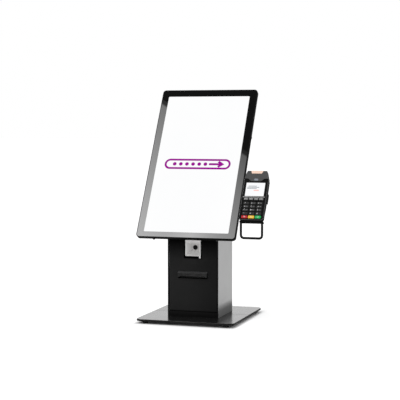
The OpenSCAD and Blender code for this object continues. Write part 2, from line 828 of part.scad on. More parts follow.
module pedestal_top() {
    tab_half = funnel_w / 2 + tab_side;
    tab_bottom_z = notch_z - tab_under;
    hole_half = funnel_w / 2 + tab_play;
    header_half = opening_w / 2 - run_gap;
    color("dimgray")
    difference() {
        union() {
            box_at([-pedestal_w / 2, pedestal_w / 2], [front_y, back_y], [top_z - top_t, top_z]);
            box_at([-header_half, header_half], [front_y, front_y + door_t], [header_z, top_z - top_t]);
            box_at([-header_half, header_half], [front_y, front_y + rail_d],
                   [header_z, header_z + header_rail_h]);
            box_at([-tab_half, tab_half], [tab_y, tab_y + tab_t], [tab_bottom_z, header_z]);
        }
        box_at([-hole_half, hole_half], [tab_y - cut, tab_y + tab_t + cut],
               [scanner_z - hole_half, scanner_z + hole_half]);
        translate([hinge_x, hinge_y, header_z - cut]) cylinder(d = hinge_pin_d, h = header_rail_h + cut);
        for (p = bracket_screws)
            translate([p[0], p[1], top_z - top_t - cut]) cylinder(d = screw_d, h = top_t + 2 * cut);
    }
}

module front_door() {
    door_h = door_top_z - door_bottom_z;
    grip = hinge_pin_grip + run_gap;
    slot_half_w = plug_w / 2 + run_gap;
    slot_half_h = plug_half_h + run_gap;
    color("black")
    difference() {
        union() {
            box_at([hinge_x, -door_left], [front_y, front_y + door_t], [door_bottom_z, door_top_z]);
            translate([hinge_x, hinge_y, door_bottom_z]) cylinder(r = barrel_r, h = door_h);
            box_at([-door_left - door_t, -door_left], [front_y, front_y + door_return_d],
                   [door_bottom_z, door_top_z]);
        }
        for (z = [door_bottom_z - cut, door_top_z - grip])
            translate([hinge_x, hinge_y, z]) cylinder(d = hinge_pin_d + 2 * pin_play, h = grip + cut);
        box_at([-notch_w / 2, notch_w / 2], [front_y - cut, front_y + door_t + cut],
               [notch_z, door_top_z + cut]);
        box_at([-slot_half_w, slot_half_w], [front_y - cut, front_y + door_t + cut],
               [mouth_z - slot_half_h, mouth_z + slot_half_h]);
    }
}

module hinge_pins() {
    upper_z = door_top_z - hinge_pin_grip;
    color("silver") {
        translate([hinge_x, hinge_y, plate_z + sill_h - hinge_pin_root])
            cylinder(d = hinge_pin_d, h = hinge_pin_root + door_gap + hinge_pin_grip);
        translate([hinge_x, hinge_y, upper_z])
            cylinder(d = hinge_pin_d, h = hinge_pin_grip + door_gap + header_rail_h);
    }
}

// A square funnel shape that opens towards -Y
module funnel_shape(mouth, floor_w, depth) {
    intersection() {
        translate([0, 0, -mouth / 2]) linear_extrude(mouth)
            polygon([[-mouth / 2, 0], [mouth / 2, 0], [floor_w / 2, depth], [-floor_w / 2, depth]]);
        along_x(mouth)
            polygon([[0, -mouth / 2], [0, mouth / 2], [depth, floor_w / 2], [depth, -floor_w / 2]]);
    }
}

module scanner_hood() {
    mouth_half = funnel_w / 2;
    flange_half = mouth_half + funnel_flange;
    flange_top = header_z - scanner_z - run_gap;
    flange_y = tab_y + tab_t - funnel_y;
    color("silver")
    translate([0, funnel_y, scanner_z])
    difference() {
        union() {
            funnel_shape(funnel_w, funnel_floor_w + 2 * funnel_t, funnel_depth + funnel_t);
            box_at([mouth_half - catch_w, mouth_half], [0, catch_t],
                   [catch_gap - mouth_half - notch_under, funnel_t / 2 - mouth_half]);
            box_at([-flange_half, flange_half], [flange_y, flange_y + funnel_t], [-flange_half, flange_top]);
        }
        funnel_shape(funnel_w - 2 * funnel_t, funnel_floor_w, funnel_depth);
        rotate([-90, 0, 0]) cylinder(d = window_d, h = funnel_depth + funnel_t + cut);
    }
}

module scanner_window() {
    color("black")
    translate([0, floor_back_y - funnel_t, scanner_z]) rotate([-90, 0, 0])
        cylinder(d = window_d - 2 * pin_play, h = funnel_t);
}

module scanner_engine() {
    color("darkslategray")
    box_at([-engine_w / 2, engine_w / 2], [floor_back_y, floor_back_y + engine_d],
           [scanner_z - engine_h / 2, scanner_z + engine_h / 2]);
}

module printer_bezel() {
    half_h = bezel_h / 2;
    slope_h = half_h - bezel_slope;
    slot_z = paper_z - slot_h / 2;
    color("black")
    difference() {
        union() {
            translate([0, front_y, mouth_z]) along_x(bezel_w)
                polygon([[0, -half_h], [-bezel_out, -slope_h], [-bezel_out, slope_h], [0, half_h]]);
            box_at([-plug_w / 2, plug_w / 2], [front_y, front_y + door_t + plug_d],
                   [mouth_z - plug_half_h, mouth_z + plug_half_h]);
        }
        box_at([-receipt_w / 2, receipt_w / 2], [front_y - bezel_out - cut, front_y + door_t + plug_d + cut],
               [slot_z, slot_z + slot_h]);
    }
}

module printer_shelf() {
    color("gray") {
        box_at([-inner_w / 2, inner_w / 2], [front_y + shelf_front, back_y - shell_t],
               [shelf_z, shelf_z + shelf_t]);
        for (s = [-1, 1])
            translate([s * (inner_w - shelf_t) / 2 - shelf_t / 2, front_y + shelf_front, shelf_z - shelf_lip])
                cube([shelf_t, pedestal_d - shelf_front - shell_t, shelf_lip]);
    }
}

module printer_frame() {
    floor_z = shelf_z + shelf_t;
    top_of_walls = lid_plate_z + cover_t;
    color("dimgray")
    difference() {
        union() {
            box_at([-wall_x, wall_x], [frame_front, frame_back], [floor_z, floor_z + shelf_t]);
            for (s = [-1, 1])
                translate([s * (wall_x + frame_wall / 2) - frame_wall / 2, frame_front, floor_z])
                    cube([frame_wall, frame_back - frame_front, top_of_walls - floor_z]);
            box_at([-wall_x, wall_x], [frame_front, frame_front + frame_wall],
                   [floor_z, head_top_z - head_h]);
            box_at([-wall_x, wall_x], [frame_back - frame_wall, frame_back],
                   [floor_z, top_of_walls - rear_wall_drop]);
            // hubs that carry the paper roll
            for (s = [-1, 1])
                translate([s * (wall_x + roll_w / 2 - hub_reach) / 2, roll_y, roll_z])
                    rod_x(core_d - 2 * pin_play, wall_x - roll_w / 2 + hub_reach);
        }
        translate([0, lid_y, lid_z]) rod_x(trunnion_d + 2 * pin_play, 2 * (wall_x + frame_wall + cut));
    }
}

module print_head() {
    color("gainsboro")
    box_at([-wall_x + frame_wall, wall_x - frame_wall], [frame_front, frame_front + head_d],
           [head_top_z - head_h, head_top_z]);
}

module printer_cover() {
    plate_half = wall_x - cover_gap;
    color("dimgray")
    difference() {
        union() {
            box_at([-plate_half, plate_half], [frame_front + cover_gap, lid_y],
                   [lid_plate_z, lid_plate_z + cover_t]);
            translate([0, lid_y, lid_z]) rod_x(2 * cover_barrel_r, 2 * plate_half);
            translate([0, lid_y, lid_z]) rod_x(trunnion_d, 2 * (wall_x + frame_wall));
            for (s = [-1, 1])
                translate([s * (lug_x + lug_t / 2) - lug_t / 2, platen_y - lug_w / 2, platen_z - lug_w / 2])
                    cube([lug_t, lug_w, lid_plate_z - platen_z + lug_w / 2]);
        }
        translate([0, platen_y, platen_z])
            rod_x(platen_shaft_d + 2 * pin_play, 2 * (lug_x + lug_t + cut));
    }
}

module platen_roller() {
    color("black")
    translate([0, platen_y, platen_z]) {
        rod_x(platen_d, roll_w + 2 * platen_over);
        rod_x(platen_shaft_d, 2 * (lug_x + lug_t + shaft_over));
    }
}

module paper_roll() {
    color("white")
    translate([0, roll_y, roll_z])
    difference() {
        rod_x(roll_d, roll_w);
        rod_x(core_d, roll_w + 2 * cut);
    }
}

module power_supply() {
    color("black")
    translate([psu_x, psu_y - psu_d / 2, plate_z]) cube([psu_w, psu_d, psu_h]);
}

module inlet_hole(w, h) {
    box_at([inlet_x - w / 2, inlet_x + w / 2], [back_y - shell_t - cut, back_y + cut],
           [inlet_z - h / 2, inlet_z + h / 2]);
}

module power_inlet() {
    half_w = inlet_w / 2;
    half_h = inlet_h / 2;
    socket_half_w = half_w - inlet_wall;
    socket_half_h = half_h - inlet_wall;
    collar_half_w = half_w + inlet_lip;
    collar_half_h = half_h + inlet_lip;
    socket_d = inlet_d - inlet_wall;
    blade_l = socket_d - inlet_wall;
    color("black")
    translate([inlet_x, back_y + inlet_lip_t, inlet_z]) {
        difference() {
            union() {
                box_at([-collar_half_w, collar_half_w], [-inlet_lip_t, 0], [-collar_half_h, collar_half_h]);
                box_at([-half_w, half_w], [-inlet_d, 0], [-half_h, half_h]);
            }
            box_at([-socket_half_w, socket_half_w], [-socket_d, cut], [-socket_half_h, socket_half_h]);
        }
        for (i = [-1:1])
            translate([i * blade_pitch - blade_w / 2, -socket_d, -blade_h / 2])
                cube([blade_w, blade_l, blade_h]);
    }
}

module head_bracket() {
    foot_z = top_z + bracket_t;
    cheek_r = bracket_back_r + cut;
    cheek_rear = bracket_foot_rear - 2 * bracket_screw_inset;
    color("dimgray")
    difference() {
        union() {
            box_at([-bracket_w / 2, bracket_w / 2], [bracket_foot_front, bracket_foot_rear], [top_z, foot_z]);
            at_head() translate([-bracket_w / 2, bracket_low_v, bracket_back_r])
                cube([bracket_w, bracket_plate_h, bracket_t]);
            for (s = [-1, 1])
                translate([s * (bracket_w - bracket_t) / 2 - s * cheek_inset, 0, 0]) along_x(bracket_t)
                    polygon([[head_y(bracket_low_v, cheek_r), head_z(bracket_low_v, cheek_r)],
                             [head_y(bracket_high_v, cheek_r), head_z(bracket_high_v, cheek_r)],
                             [cheek_rear, foot_z - cut], [bracket_foot_front, foot_z - cut]]);
        }
        for (p = bracket_screws)
            translate([p[0], p[1], top_z - cut])
                cylinder(d = screw_d + 2 * screw_play, h = bracket_t + 2 * cut);
        for (p = vesa_screws)
            at_head() translate([p[0], p[1], bracket_back_r - cut])
                cylinder(d = screw_d + 2 * screw_play, h = bracket_t + 2 * cut);
    }
}

// A pan head screw whose head stands on the plane Z = 0
module machine_screw() {
    cylinder(d = screw_head_d, h = screw_head_h);
    translate([0, 0, -screw_l]) cylinder(d = screw_d, h = screw_l);
}

module machine_screws() {
    color("silver") {
        for (p = flange_screws)
            translate([p[0], p[1], plate_z + shell_t]) machine_screw();
        for (p = bracket_screws)
            translate([p[0], p[1], top_z + bracket_t]) machine_screw();
        for (p = vesa_screws)
            at_head() translate([p[0], p[1], bracket_back_r]) rotate([180, 0, 0]) machine_screw();
        for (p = arm_screws)
            at_head() translate([p[0], p[1], chassis_back_r - bracket_t]) rotate([180, 0, 0]) machine_screw();
    }
}

module cover_glass() {
    color("black")
    at_head() translate([0, 0, -glass_t])
        rounded_plate(glass_w, glass_h, glass_corner_r, glass_t);
}

module button_shape(grow, l) {
    flat_l = button_l - button_w;
    linear_extrude(l) {
        square([flat_l, button_w + 2 * grow], center = true);
        for (s = [-1, 1])
            translate([s * flat_l / 2, 0]) circle(d = button_w + 2 * grow);
    }
}

// The edge buttons lie with their length along the glass edge and point out of it
module at_lower_button(s) {
    at_head() translate([s * lower_button_x, -glass_h / 2, button_r]) rotate([90, 0, 0]) children();
}

module at_side_button() {
    at_head() translate([glass_w / 2, side_button_v, button_r])
        rotate([0, 90, 0]) rotate([0, 0, 90]) children();
}

module edge_button(out) {
    translate([0, 0, -button_deep]) button_shape(0, button_deep + out);
}

module button_pocket() {
    depth = button_deep + button_travel + run_gap;
    translate([0, 0, -depth]) button_shape(run_gap, depth + cut);
}

module display_frame() {
    color("black")
    difference() {
        at_head() translate([0, 0, frame_back_r])
        difference() {
            rounded_plate(glass_w, glass_h, glass_corner_r, frame_d);
            translate([0, -panel_drop, frame_d / 2])
                cube([panel_w + 2 * panel_gap, panel_h + 2 * panel_gap, frame_d + 2 * cut], center = true);
        }
        for (s = [-1, 1])
            at_lower_button(s) button_pocket();
        at_side_button() button_pocket();
    }
}

module lcd_panel() {
    color("white")
    at_head() translate([-panel_w / 2, -panel_h / 2 - panel_drop, frame_back_r])
        cube([panel_w, panel_h, frame_d]);
}

module display_chassis() {
    color("gray")
    at_head()
    difference() {
        translate([0, 0, chassis_back_r])
            rounded_plate(glass_w - 2 * chassis_inset, glass_h - 2 * chassis_inset,
                          glass_corner_r, chassis_t);
        for (p = arm_screws)
            translate([p[0], p[1], chassis_back_r - cut]) cylinder(d = screw_d, h = chassis_t + 2 * cut);
    }
}

module rear_cover() {
    slots_v = rear_h / 4;
    inner_r = rear_corner_r - rear_t;
    color("dimgray")
    at_head() translate([0, rear_rise, rear_back_r])
    difference() {
        rounded_plate(rear_w, rear_h, rear_corner_r, rear_d);
        translate([0, 0, rear_t])
            rounded_plate(rear_w - 2 * rear_t, rear_h - 2 * rear_t, inner_r, rear_d);
        for (i = [0:rear_vent_rows - 1])
            translate([-rear_vent_l / 2, slots_v + (i - (rear_vent_rows - 1) / 2) * rear_vent_pitch, -cut])
                cube([rear_vent_l, rear_vent_h, rear_t + 2 * cut]);
        // way out for the cables, in the lower wall
        translate([-cable_gap_w / 2, -rear_h / 2 - cut, (rear_d - cable_gap_d) / 2])
            cube([cable_gap_w, rear_t + 2 * cut, cable_gap_d]);
        for (p = vesa_screws)
            translate([p[0], p[1] - rear_rise, -cut]) cylinder(d = screw_d, h = rear_t + 2 * cut);
    }
}

module main_board() {
    spacer_x = main_board_w / 2 - spacer_inset;
    spacer_v = main_board_h / 2 - spacer_inset;
    color("green")
    at_head() translate([0, main_board_rise, chassis_back_r - main_board_stand - board_t]) {
        translate([-main_board_w / 2, -main_board_h / 2, 0]) cube([main_board_w, main_board_h, board_t]);
        for (x = [-1, 1], y = [-1, 1])
            translate([x * spacer_x, y * spacer_v, board_t]) cylinder(d = spacer_d, h = main_board_stand);
        translate([-heat_sink_w / 2, -heat_sink_w / 2 + spacer_inset, -heat_sink_t])
            cube([heat_sink_w, heat_sink_w, heat_sink_t]);
        translate([-port_w / 2, -main_board_h / 2, -port_t]) cube([port_w, port_h, port_t]);
    }
}

module power_button() {
    color("dimgray") at_lower_button(-1) edge_button(lower_button_out);
}

module menu_button() {
    color("dimgray") at_lower_button(1) edge_button(lower_button_out);
}

module side_button() {
    color("dimgray") at_side_button() edge_button(button_out);
}

module terminal_arm() {
    strip_end = term_x + arm_knuckle_l / 2 + arm_over;
    web_x = arm_foot_x + arm_foot_w - bracket_t;
    color("black")
    at_head()
    difference() {
        union() {
            translate([arm_foot_x, term_v - arm_w / 2, chassis_back_r - bracket_t])
                cube([arm_foot_w, arm_w, bracket_t]);
            translate([web_x, term_v - arm_w / 2, arm_strip_r - bracket_t])
                cube([bracket_t, arm_w, chassis_back_r - arm_strip_r + bracket_t]);
            translate([web_x, term_v - arm_w / 2, arm_strip_r - bracket_t])
                cube([strip_end - web_x, arm_w, bracket_t]);
            translate([term_x - arm_knuckle_l / 2, term_v - knuckle_r, arm_strip_r - bracket_t])
                cube([arm_knuckle_l, 2 * knuckle_r, tilt_r - arm_strip_r + bracket_t]);
            translate([term_x, term_v, tilt_r]) rod_x(2 * knuckle_r, arm_knuckle_l);
        }
        translate([term_x, term_v, tilt_r]) rod_x(tilt_pin_d, arm_knuckle_l + 2 * cut);
        for (p = arm_screws)
            translate([p[0], p[1], chassis_back_r - bracket_t - cut])
                cylinder(d = screw_d + 2 * screw_play, h = bracket_t + 2 * cut);
    }
}

module tilt_pin() {
    collar_x = hinge_half + knuckle_gap;
    color("silver")
    at_terminal() translate([0, 0, tilt_r]) {
        rod_x(tilt_pin_d, 2 * (collar_x + pin_collar_t));
        for (s = [-1, 1])
            translate([s * (collar_x + pin_collar_t / 2), 0, 0])
                rod_x(tilt_pin_d + 2 * pin_collar_w, pin_collar_t);
    }
}

module cradle_shelf() {
    flat_w = cradle_shelf_w - 2 * cradle_corner_r;
    straight_d = cradle_shelf_d - cradle_corner_r;
    rotate([-90, 0, 0]) linear_extrude(cradle_shelf_t) {
        translate([-cradle_shelf_w / 2, -straight_d]) square([cradle_shelf_w, straight_d]);
        translate([-flat_w / 2, -cradle_shelf_d]) square([flat_w, cradle_shelf_d]);
        for (s = [-1, 1])
            translate([s * flat_w / 2, -straight_d]) circle(cradle_corner_r);
    }
}

module terminal_cradle() {
    low_r = back_r + back_rise(shelf_low_v);
    clip_x = term_w / 2 - housing_step + run_gap;
    color("black")
    difference() {
        at_terminal()
        difference() {
            union() {
                along_x(cradle_w)
                    polygon([[cradle_reach, plate_back_r], [cradle_reach, back_r], [wedge_v, back_r],
                             [shelf_low_v, low_r], [shelf_low_v, shelf_back_r], [wedge_v, plate_back_r]]);
                translate([0, shelf_low_v, shelf_back_r]) cradle_shelf();
                translate([-clip_x - clip_t, -clip_l / 2, plate_back_r])
                    cube([2 * (clip_x + clip_t), clip_l, cradle_t]);
                for (s = [-1, 1])
                    translate([s * (clip_x + clip_t / 2) - clip_t / 2, -clip_l / 2, plate_back_r])
                        cube([clip_t, clip_l, cradle_t + clip_h]);
                for (s = [-1, 1])
                    translate([s * (hinge_half - cradle_knuckle_l / 2), 0, tilt_r]) {
                        rod_x(2 * knuckle_r, cradle_knuckle_l);
                        translate([-cradle_knuckle_l / 2, -knuckle_r, 0])
                            cube([cradle_knuckle_l, 2 * knuckle_r, tilt_back + cradle_t / 2]);
                    }
            }
            translate([0, 0, tilt_r]) rod_x(tilt_pin_d + 2 * pin_play, 2 * (hinge_half + cut));
        }
        hoop_rods(hoop_d + 2 * pin_play);
    }
}

module hoop_rods(d) {
    for (s = [-1, 1])
        translate([term_x + s * hoop_half, hoop_y, hoop_bottom_z + hoop_bend_r])
            cylinder(d = d, h = hoop_drop - hoop_bend_r + 3 * cradle_shelf_t);
}

module guard_hoop() {
    lower_l = 2 * (hoop_half - hoop_bend_r);
    above = 10 * cradle_shelf_t;
    color("black")
    difference() {
        union() {
            hoop_rods(hoop_d);
            translate([term_x, hoop_y, hoop_bottom_z]) rod_x(hoop_d, lower_l);
            for (s = [0, 1])
                translate([term_x, hoop_y, hoop_bottom_z + hoop_bend_r]) mirror([s, 0, 0])
                    translate([hoop_half - hoop_bend_r, 0, 0]) rotate([90, 0, 0]) rotate([0, 0, -90])
                    rotate_extrude(angle = 90) translate([hoop_bend_r, 0]) circle(d = hoop_d);
        }
        // the rods end flush with the top of the shelf
        at_terminal() translate([-hoop_w, -term_l / 2, shelf_back_r - above])
            cube([2 * hoop_w, above, 3 * above]);
    }
}

module terminal_outline(inset) {
    half = term_w / 2 - inset;
    half_top = term_top_w / 2 - inset;
    low = -term_l / 2 + inset;
    high = term_l / 2 - inset;
    shoulder = term_l / 2 - term_taper_l;
    r = max(term_corner_r - inset, 1);
    polygon([[-half, low + r], [half, low + r], [half, shoulder],
             [half_top, high], [-half_top, high], [-half, shoulder]]);
    translate([-half + r, low]) square([2 * (half - r), 2 * r]);
    for (s = [-1, 1])
        translate([s * (half - r), low + r]) circle(r);
}

// The room behind the slope of the terminal's back, shifted forward by lift
module wedge_space(lift) {
    low = -term_l / 2 - wedge_l;
    along_x(2 * term_w)
        polygon([[wedge_v, lift], [low, back_rise(low) + lift], [low, -base_housing_h],
                 [wedge_v, -base_housing_h]]);
}

module terminal_base() {
    post_x = term_top_w / 2 - board_post_side;
    post_v = term_l / 2 - board_post_inset;
    color("black")
    at_terminal() translate([0, 0, back_r]) {
        difference() {
            linear_extrude(base_housing_h) terminal_outline(housing_step);
            difference() {
                translate([0, 0, housing_t])
                    linear_extrude(base_housing_h) terminal_outline(housing_step + housing_t);
                wedge_space(housing_t);
            }
            wedge_space(0);
        }
        difference() {
            for (x = [-1, 1], y = [-1, 1])
                translate([x * post_x, y * post_v, housing_t / 2])
                    cylinder(d = board_post_d, h = base_housing_h - housing_t / 2 + board_post_over);
            wedge_space(housing_t / 2);
        }
    }
}

function key_x(n) = (n % key_columns - (key_columns - 1) / 2) * key_pitch_x;
function key_v(n) = -term_l / 2 + key_low + key_h / 2
    + (key_rows - 1 - floor(n / key_columns)) * key_pitch_y;
function fkey_x(n) = (n - (len(function_keys) - 1) / 2) * fkey_pitch;

module terminal_top() {
    field_top = key_v(0) + key_h / 2 + field_margin;
    field_low = key_v(len(number_keys) - 1) - key_h / 2 - field_margin;
    field_half = term_w / 2 - key_side + field_margin;
    ledge_v = (fkey_v + fkey_h / 2 + lcd_low_v) / 2;
    color("black")
    at_terminal()
    difference() {
        union() {
            translate([0, 0, seam_r]) linear_extrude(top_housing_h) terminal_outline(0);
            translate([-ledge_w / 2, ledge_v - ledge_h / 2, face_back_r])
                cube([ledge_w, ledge_h, face_t + ledge_out]);
        }
        translate([0, 0, seam_r - cut])
            linear_extrude(top_housing_h - face_t + cut) terminal_outline(housing_t);
        translate([-lcd_w / 2, lcd_low_v, face_back_r - cut]) cube([lcd_w, lcd_h, face_t + 2 * cut]);
        box_at([-field_half, field_half], [field_low, field_top], [field_r, term_face + cut]);
        for (n = [0:len(number_keys) - 1])
            translate([key_x(n), key_v(n), face_back_r - cut])
                key_shape(key_w, key_h, key_gap, face_t + 2 * cut);
        for (n = [0:len(function_keys) - 1])
            translate([fkey_x(n), fkey_v, face_back_r - cut])
                key_shape(fkey_w, fkey_h, key_gap, face_t + 2 * cut);
    }
}

// Side view of the hood along the terminal, raised by lift
module hood_profile(lift) {
    high = term_l / 2;
    along_x(2 * hood_w)
        polygon([[hood_low_v, term_face], [hood_low_v, term_face + hood_low + lift],
                 [high - hood_ridge, term_face + hood_high + lift],
                 [high, term_face + hood_top + lift], [high, term_face]]);
}

module terminal_hood() {
    high = term_l / 2;
    shoulder = high - hood_shoulder;
    tongue = shoulder - hood_tongue_step;
    color("dimgray")
    at_terminal()
    intersection() {
        hood_profile(0);
        linear_extrude(2 * term_face)
            polygon([[-term_top_w / 2, high], [term_top_w / 2, high], [hood_w / 2, shoulder],
                     [hood_tongue_w / 2, tongue], [hood_tongue_end_w / 2, hood_low_v],
                     [-hood_tongue_end_w / 2, hood_low_v], [-hood_tongue_w / 2, tongue],
                     [-hood_w / 2, shoulder]]);
    }
}

module contactless_patch() {
    high = term_l / 2;
    ridge = high - hood_ridge;
    color("peachpuff")
    at_terminal()
    intersection() {
        difference() {
            hood_profile(patch_t);
            hood_profile(0);
        }
        linear_extrude(2 * term_face)
            polygon([[-patch_w / 2, high], [patch_w / 2, high],
                     [patch_low_w / 2, ridge], [-patch_low_w / 2, ridge]]);
    }
}

module terminal_display() {
    w = lcd_w + 2 * lcd_border;
    h = lcd_h + 2 * lcd_border;
    color("white")
    at_terminal() translate([0, lcd_v, 0]) {
        translate([-w / 2, -h / 2, face_back_r - lcd_back_t]) cube([w, h, lcd_back_t]);
        translate([-lcd_w / 2 + lcd_play, -lcd_h / 2 + lcd_play, face_back_r])
            cube([lcd_w - 2 * lcd_play, lcd_h - 2 * lcd_play, face_t - lcd_sunk]);
    }
}

module terminal_board() {
    color("green")
    at_terminal() translate([0, 0, board_r])
        linear_extrude(board_t) terminal_outline(housing_t + board_gap);
}

module key_shape(w, h, grow, l) {
    linear_extrude(l) rounded_rect(w + 2 * grow, h + 2 * grow, key_corner_r + grow);
}

// A key that stands out to the level top_r, with the lip that keeps it in
module key_body(w, h, top_r) {
    translate([0, 0, key_bottom_r]) key_shape(w, h, 0, top_r - key_bottom_r);
    translate([0, 0, lip_top_r - key_lip_t]) key_shape(w, h, key_lip, key_lip_t);
}

module number_key(n) {
    color(n < colour_row ? "darkslategray" : key_colours[n - colour_row])
    at_terminal() translate([key_x(n), key_v(n), 0]) key_body(key_w, key_h, field_r + key_out);
}

module function_key(n) {
    color("silver")
    at_terminal() translate([fkey_x(n), fkey_v, 0]) key_body(fkey_w, fkey_h, term_face + fkey_out);
}

base_plate();
front_deck();
rear_deck();
base_feet();
pedestal_shell();
pedestal_top();
front_door();
hinge_pins();
scanner_hood();
scanner_window();
scanner_engine();
printer_bezel();
printer_shelf();
printer_frame();
print_head();
printer_cover();
platen_roller();
paper_roll();
power_supply();
power_inlet();
head_bracket();
machine_screws();
cover_glass();
display_frame();
lcd_panel();
display_chassis();
rear_cover();
main_board();
power_button();
menu_button();
side_button();
terminal_arm();
tilt_pin();
terminal_cradle();
guard_hoop();
terminal_base();
terminal_top();
terminal_hood();
contactless_patch();
terminal_display();
terminal_board();
for (n = [0:len(number_keys) - 1])
    number_key(n);
for (n = [0:len(function_keys) - 1])
    function_key(n);
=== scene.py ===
import json
import math

import bmesh
import bpy
from mathutils import Matrix, Vector


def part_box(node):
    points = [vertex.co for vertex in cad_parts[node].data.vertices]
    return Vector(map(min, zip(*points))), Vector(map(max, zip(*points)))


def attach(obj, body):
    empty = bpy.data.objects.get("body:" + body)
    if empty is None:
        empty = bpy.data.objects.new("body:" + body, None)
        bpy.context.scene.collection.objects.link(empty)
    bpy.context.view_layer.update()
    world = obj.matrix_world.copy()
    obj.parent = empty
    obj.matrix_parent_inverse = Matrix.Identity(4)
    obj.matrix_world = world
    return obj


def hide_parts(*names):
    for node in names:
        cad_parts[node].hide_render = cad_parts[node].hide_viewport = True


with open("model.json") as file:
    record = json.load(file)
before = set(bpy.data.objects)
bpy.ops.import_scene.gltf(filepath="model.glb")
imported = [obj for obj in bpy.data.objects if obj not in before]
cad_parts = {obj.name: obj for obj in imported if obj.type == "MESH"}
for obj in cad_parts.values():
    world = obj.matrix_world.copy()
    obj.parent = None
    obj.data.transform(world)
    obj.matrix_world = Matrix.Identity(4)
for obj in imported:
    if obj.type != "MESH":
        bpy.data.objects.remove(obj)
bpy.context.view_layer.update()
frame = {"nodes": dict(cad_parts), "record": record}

# A countertop self-service kiosk: a tilted touch display on a box pedestal, with a scanner,
# a receipt printer and a payment terminal. Sizes are in metres.

NODES = frame["nodes"]
RECORD = frame["record"]
SLOT_OF = {s["node"]: s["material_slot"] for s in RECORD["subparts"]}
BODY_OF = {n: body for body, members in RECORD["behaviour"]["bodies"].items() for n in members}

MM = 0.001
SIDES = (-1, 1)
UP, DOWN, RIGHT, INWARDS = (0, 0, 1), (0, 0, -1), (1, 0, 0), (0, 1, 0)

# The display's own frame: x to the right, y up the glass, z out of the glass
DISPLAY_TILT = math.radians(30)
GLASS_CENTRE = Vector((0, -27 * MM, 490 * MM))
HEAD = Matrix.Translation(GLASS_CENTRE) @ Matrix.Rotation(math.pi / 2 - DISPLAY_TILT, 4, "X")
GLASS_W, GLASS_H, GLASS_T, GLASS_R = 314 * MM, 520 * MM, 3 * MM, 10 * MM
LIT_W, LIT_H, LIT_DROP, LIT_R = 268.1 * MM, 476.6 * MM, 3 * MM, 3 * MM
REAR_COVER_BACK = -45 * MM

# The terminal's own frame lies in the plane of the glass
TERMINAL_X, TERMINAL_Y = 202 * MM, -122 * MM
TERMINAL = HEAD @ Matrix.Translation((TERMINAL_X, TERMINAL_Y, 0))
TERMINAL_FACE = 20 * MM
# Beyond these lies the outer edge of the terminal's top
TERMINAL_SIDE, TERMINAL_LOW, TERMINAL_HIGH = 35 * MM, -77.2 * MM, 57 * MM
NUMBER_KEYS = "1 2 3 4 5 6 7 8 9 star 0 hash cancel clear enter".split()
KEY_W, KEY_H, KEY_TOP = 18.5 * MM, 9.2 * MM, 20.3 * MM
KEY_PITCH_X, KEY_PITCH_Y, KEY_ROW = 20.7 * MM, 11.4 * MM, -26 * MM
FKEY_W, FKEY_H, FKEY_TOP = 13.025 * MM, 6.5 * MM, 20.9 * MM
FKEY_COUNT, FKEY_PITCH, FKEY_ROW = 4, 15.625 * MM, -12 * MM

# The stand
BASE_HALF_W, BASE_HALF_D, DECK_TOP = 155 * MM, 170 * MM, 14 * MM
PEDESTAL_HALF_W, PEDESTAL_HALF_D = 82 * MM, 77 * MM
# The sill lies below the first of these, and what lies behind the door is beyond the second
SILL_LIMIT, DOOR_BACK = 40 * MM, -75 * MM


# Shader groups shared by the finishes

FLOAT, COLOUR, VECTOR = "NodeSocketFloat", "NodeSocketColor", "NodeSocketVector"
# Most values of a noise lie between these
NOISE_SPAN = (0.3, 0.7)


def add(tree, kind, **settings):
    node = tree.nodes.new(kind)
    for key, value in settings.items():
        setattr(node, key, value)
    return node


def feed(tree, socket, value):
    """Links a socket to another one, or sets it to a number, a vector or a colour."""
    if isinstance(value, bpy.types.NodeSocket):
        tree.links.new(value, socket)
    elif socket.type == "RGBA":
        socket.default_value = (*value, 1.0)
    else:
        socket.default_value = value


def feed_all(tree, node, **values):
    """Feeds inputs of a node by name; an underscore stands for a space."""
    for label, value in values.items():
        feed(tree, node.inputs[label.replace("_", " ")], value)
    return node


def noise(tree, vector, scale, detail=3.0, rough=0.55):
    node = add(tree, "ShaderNodeTexNoise")
    feed_all(tree, node, Vector=vector, Scale=scale, Detail=detail, Roughness=rough)
    return node.outputs["Fac"]


def math_node(tree, operation, a, b=None, clamp=False):
    node = add(tree, "ShaderNodeMath", operation=operation, use_clamp=clamp)
    feed(tree, node.inputs[0], a)
    if b is not None:
        feed(tree, node.inputs[1], b)
    return node.outputs[0]


def remap(tree, value, low, high, out_low, out_high):
    node = add(tree, "ShaderNodeMapRange")
    feed_all(tree, node, Value=value, From_Min=low, From_Max=high, To_Min=out_low, To_Max=out_high)
    return node.outputs["Result"]


def mixed(tree, factor, a, b):
    """Colour a where the factor is 0 and colour b where it is 1."""
    node = add(tree, "ShaderNodeMix", data_type="RGBA")
    colour_a, colour_b, result = node.inputs[6], node.inputs[7], node.outputs[2]
    feed(tree, node.inputs["Factor"], factor)
    feed(tree, colour_a, a)
    feed(tree, colour_b, b)
    return result


def split(tree, vector):
    """The X, Y and Z of a vector."""
    return feed_all(tree, add(tree, "ShaderNodeSeparateXYZ"), Vector=vector).outputs


def object_place(tree):
    return add(tree, "ShaderNodeTexCoord").outputs["Object"]


def shader_group(name, inputs, result, kind=FLOAT):
    """A new group with a Vector, further inputs (label and kind) and one result."""
    tree = bpy.data.node_groups.new(name, "ShaderNodeTree")
    for label, input_kind in {"Vector": VECTOR, **inputs}.items():
        tree.interface.new_socket(label, in_out="INPUT", socket_type=input_kind)
    tree.interface.new_socket(result, in_out="OUTPUT", socket_type=kind)
    given, out = add(tree, "NodeGroupInput"), add(tree, "NodeGroupOutput")
    return tree, given.outputs, out.inputs[result]


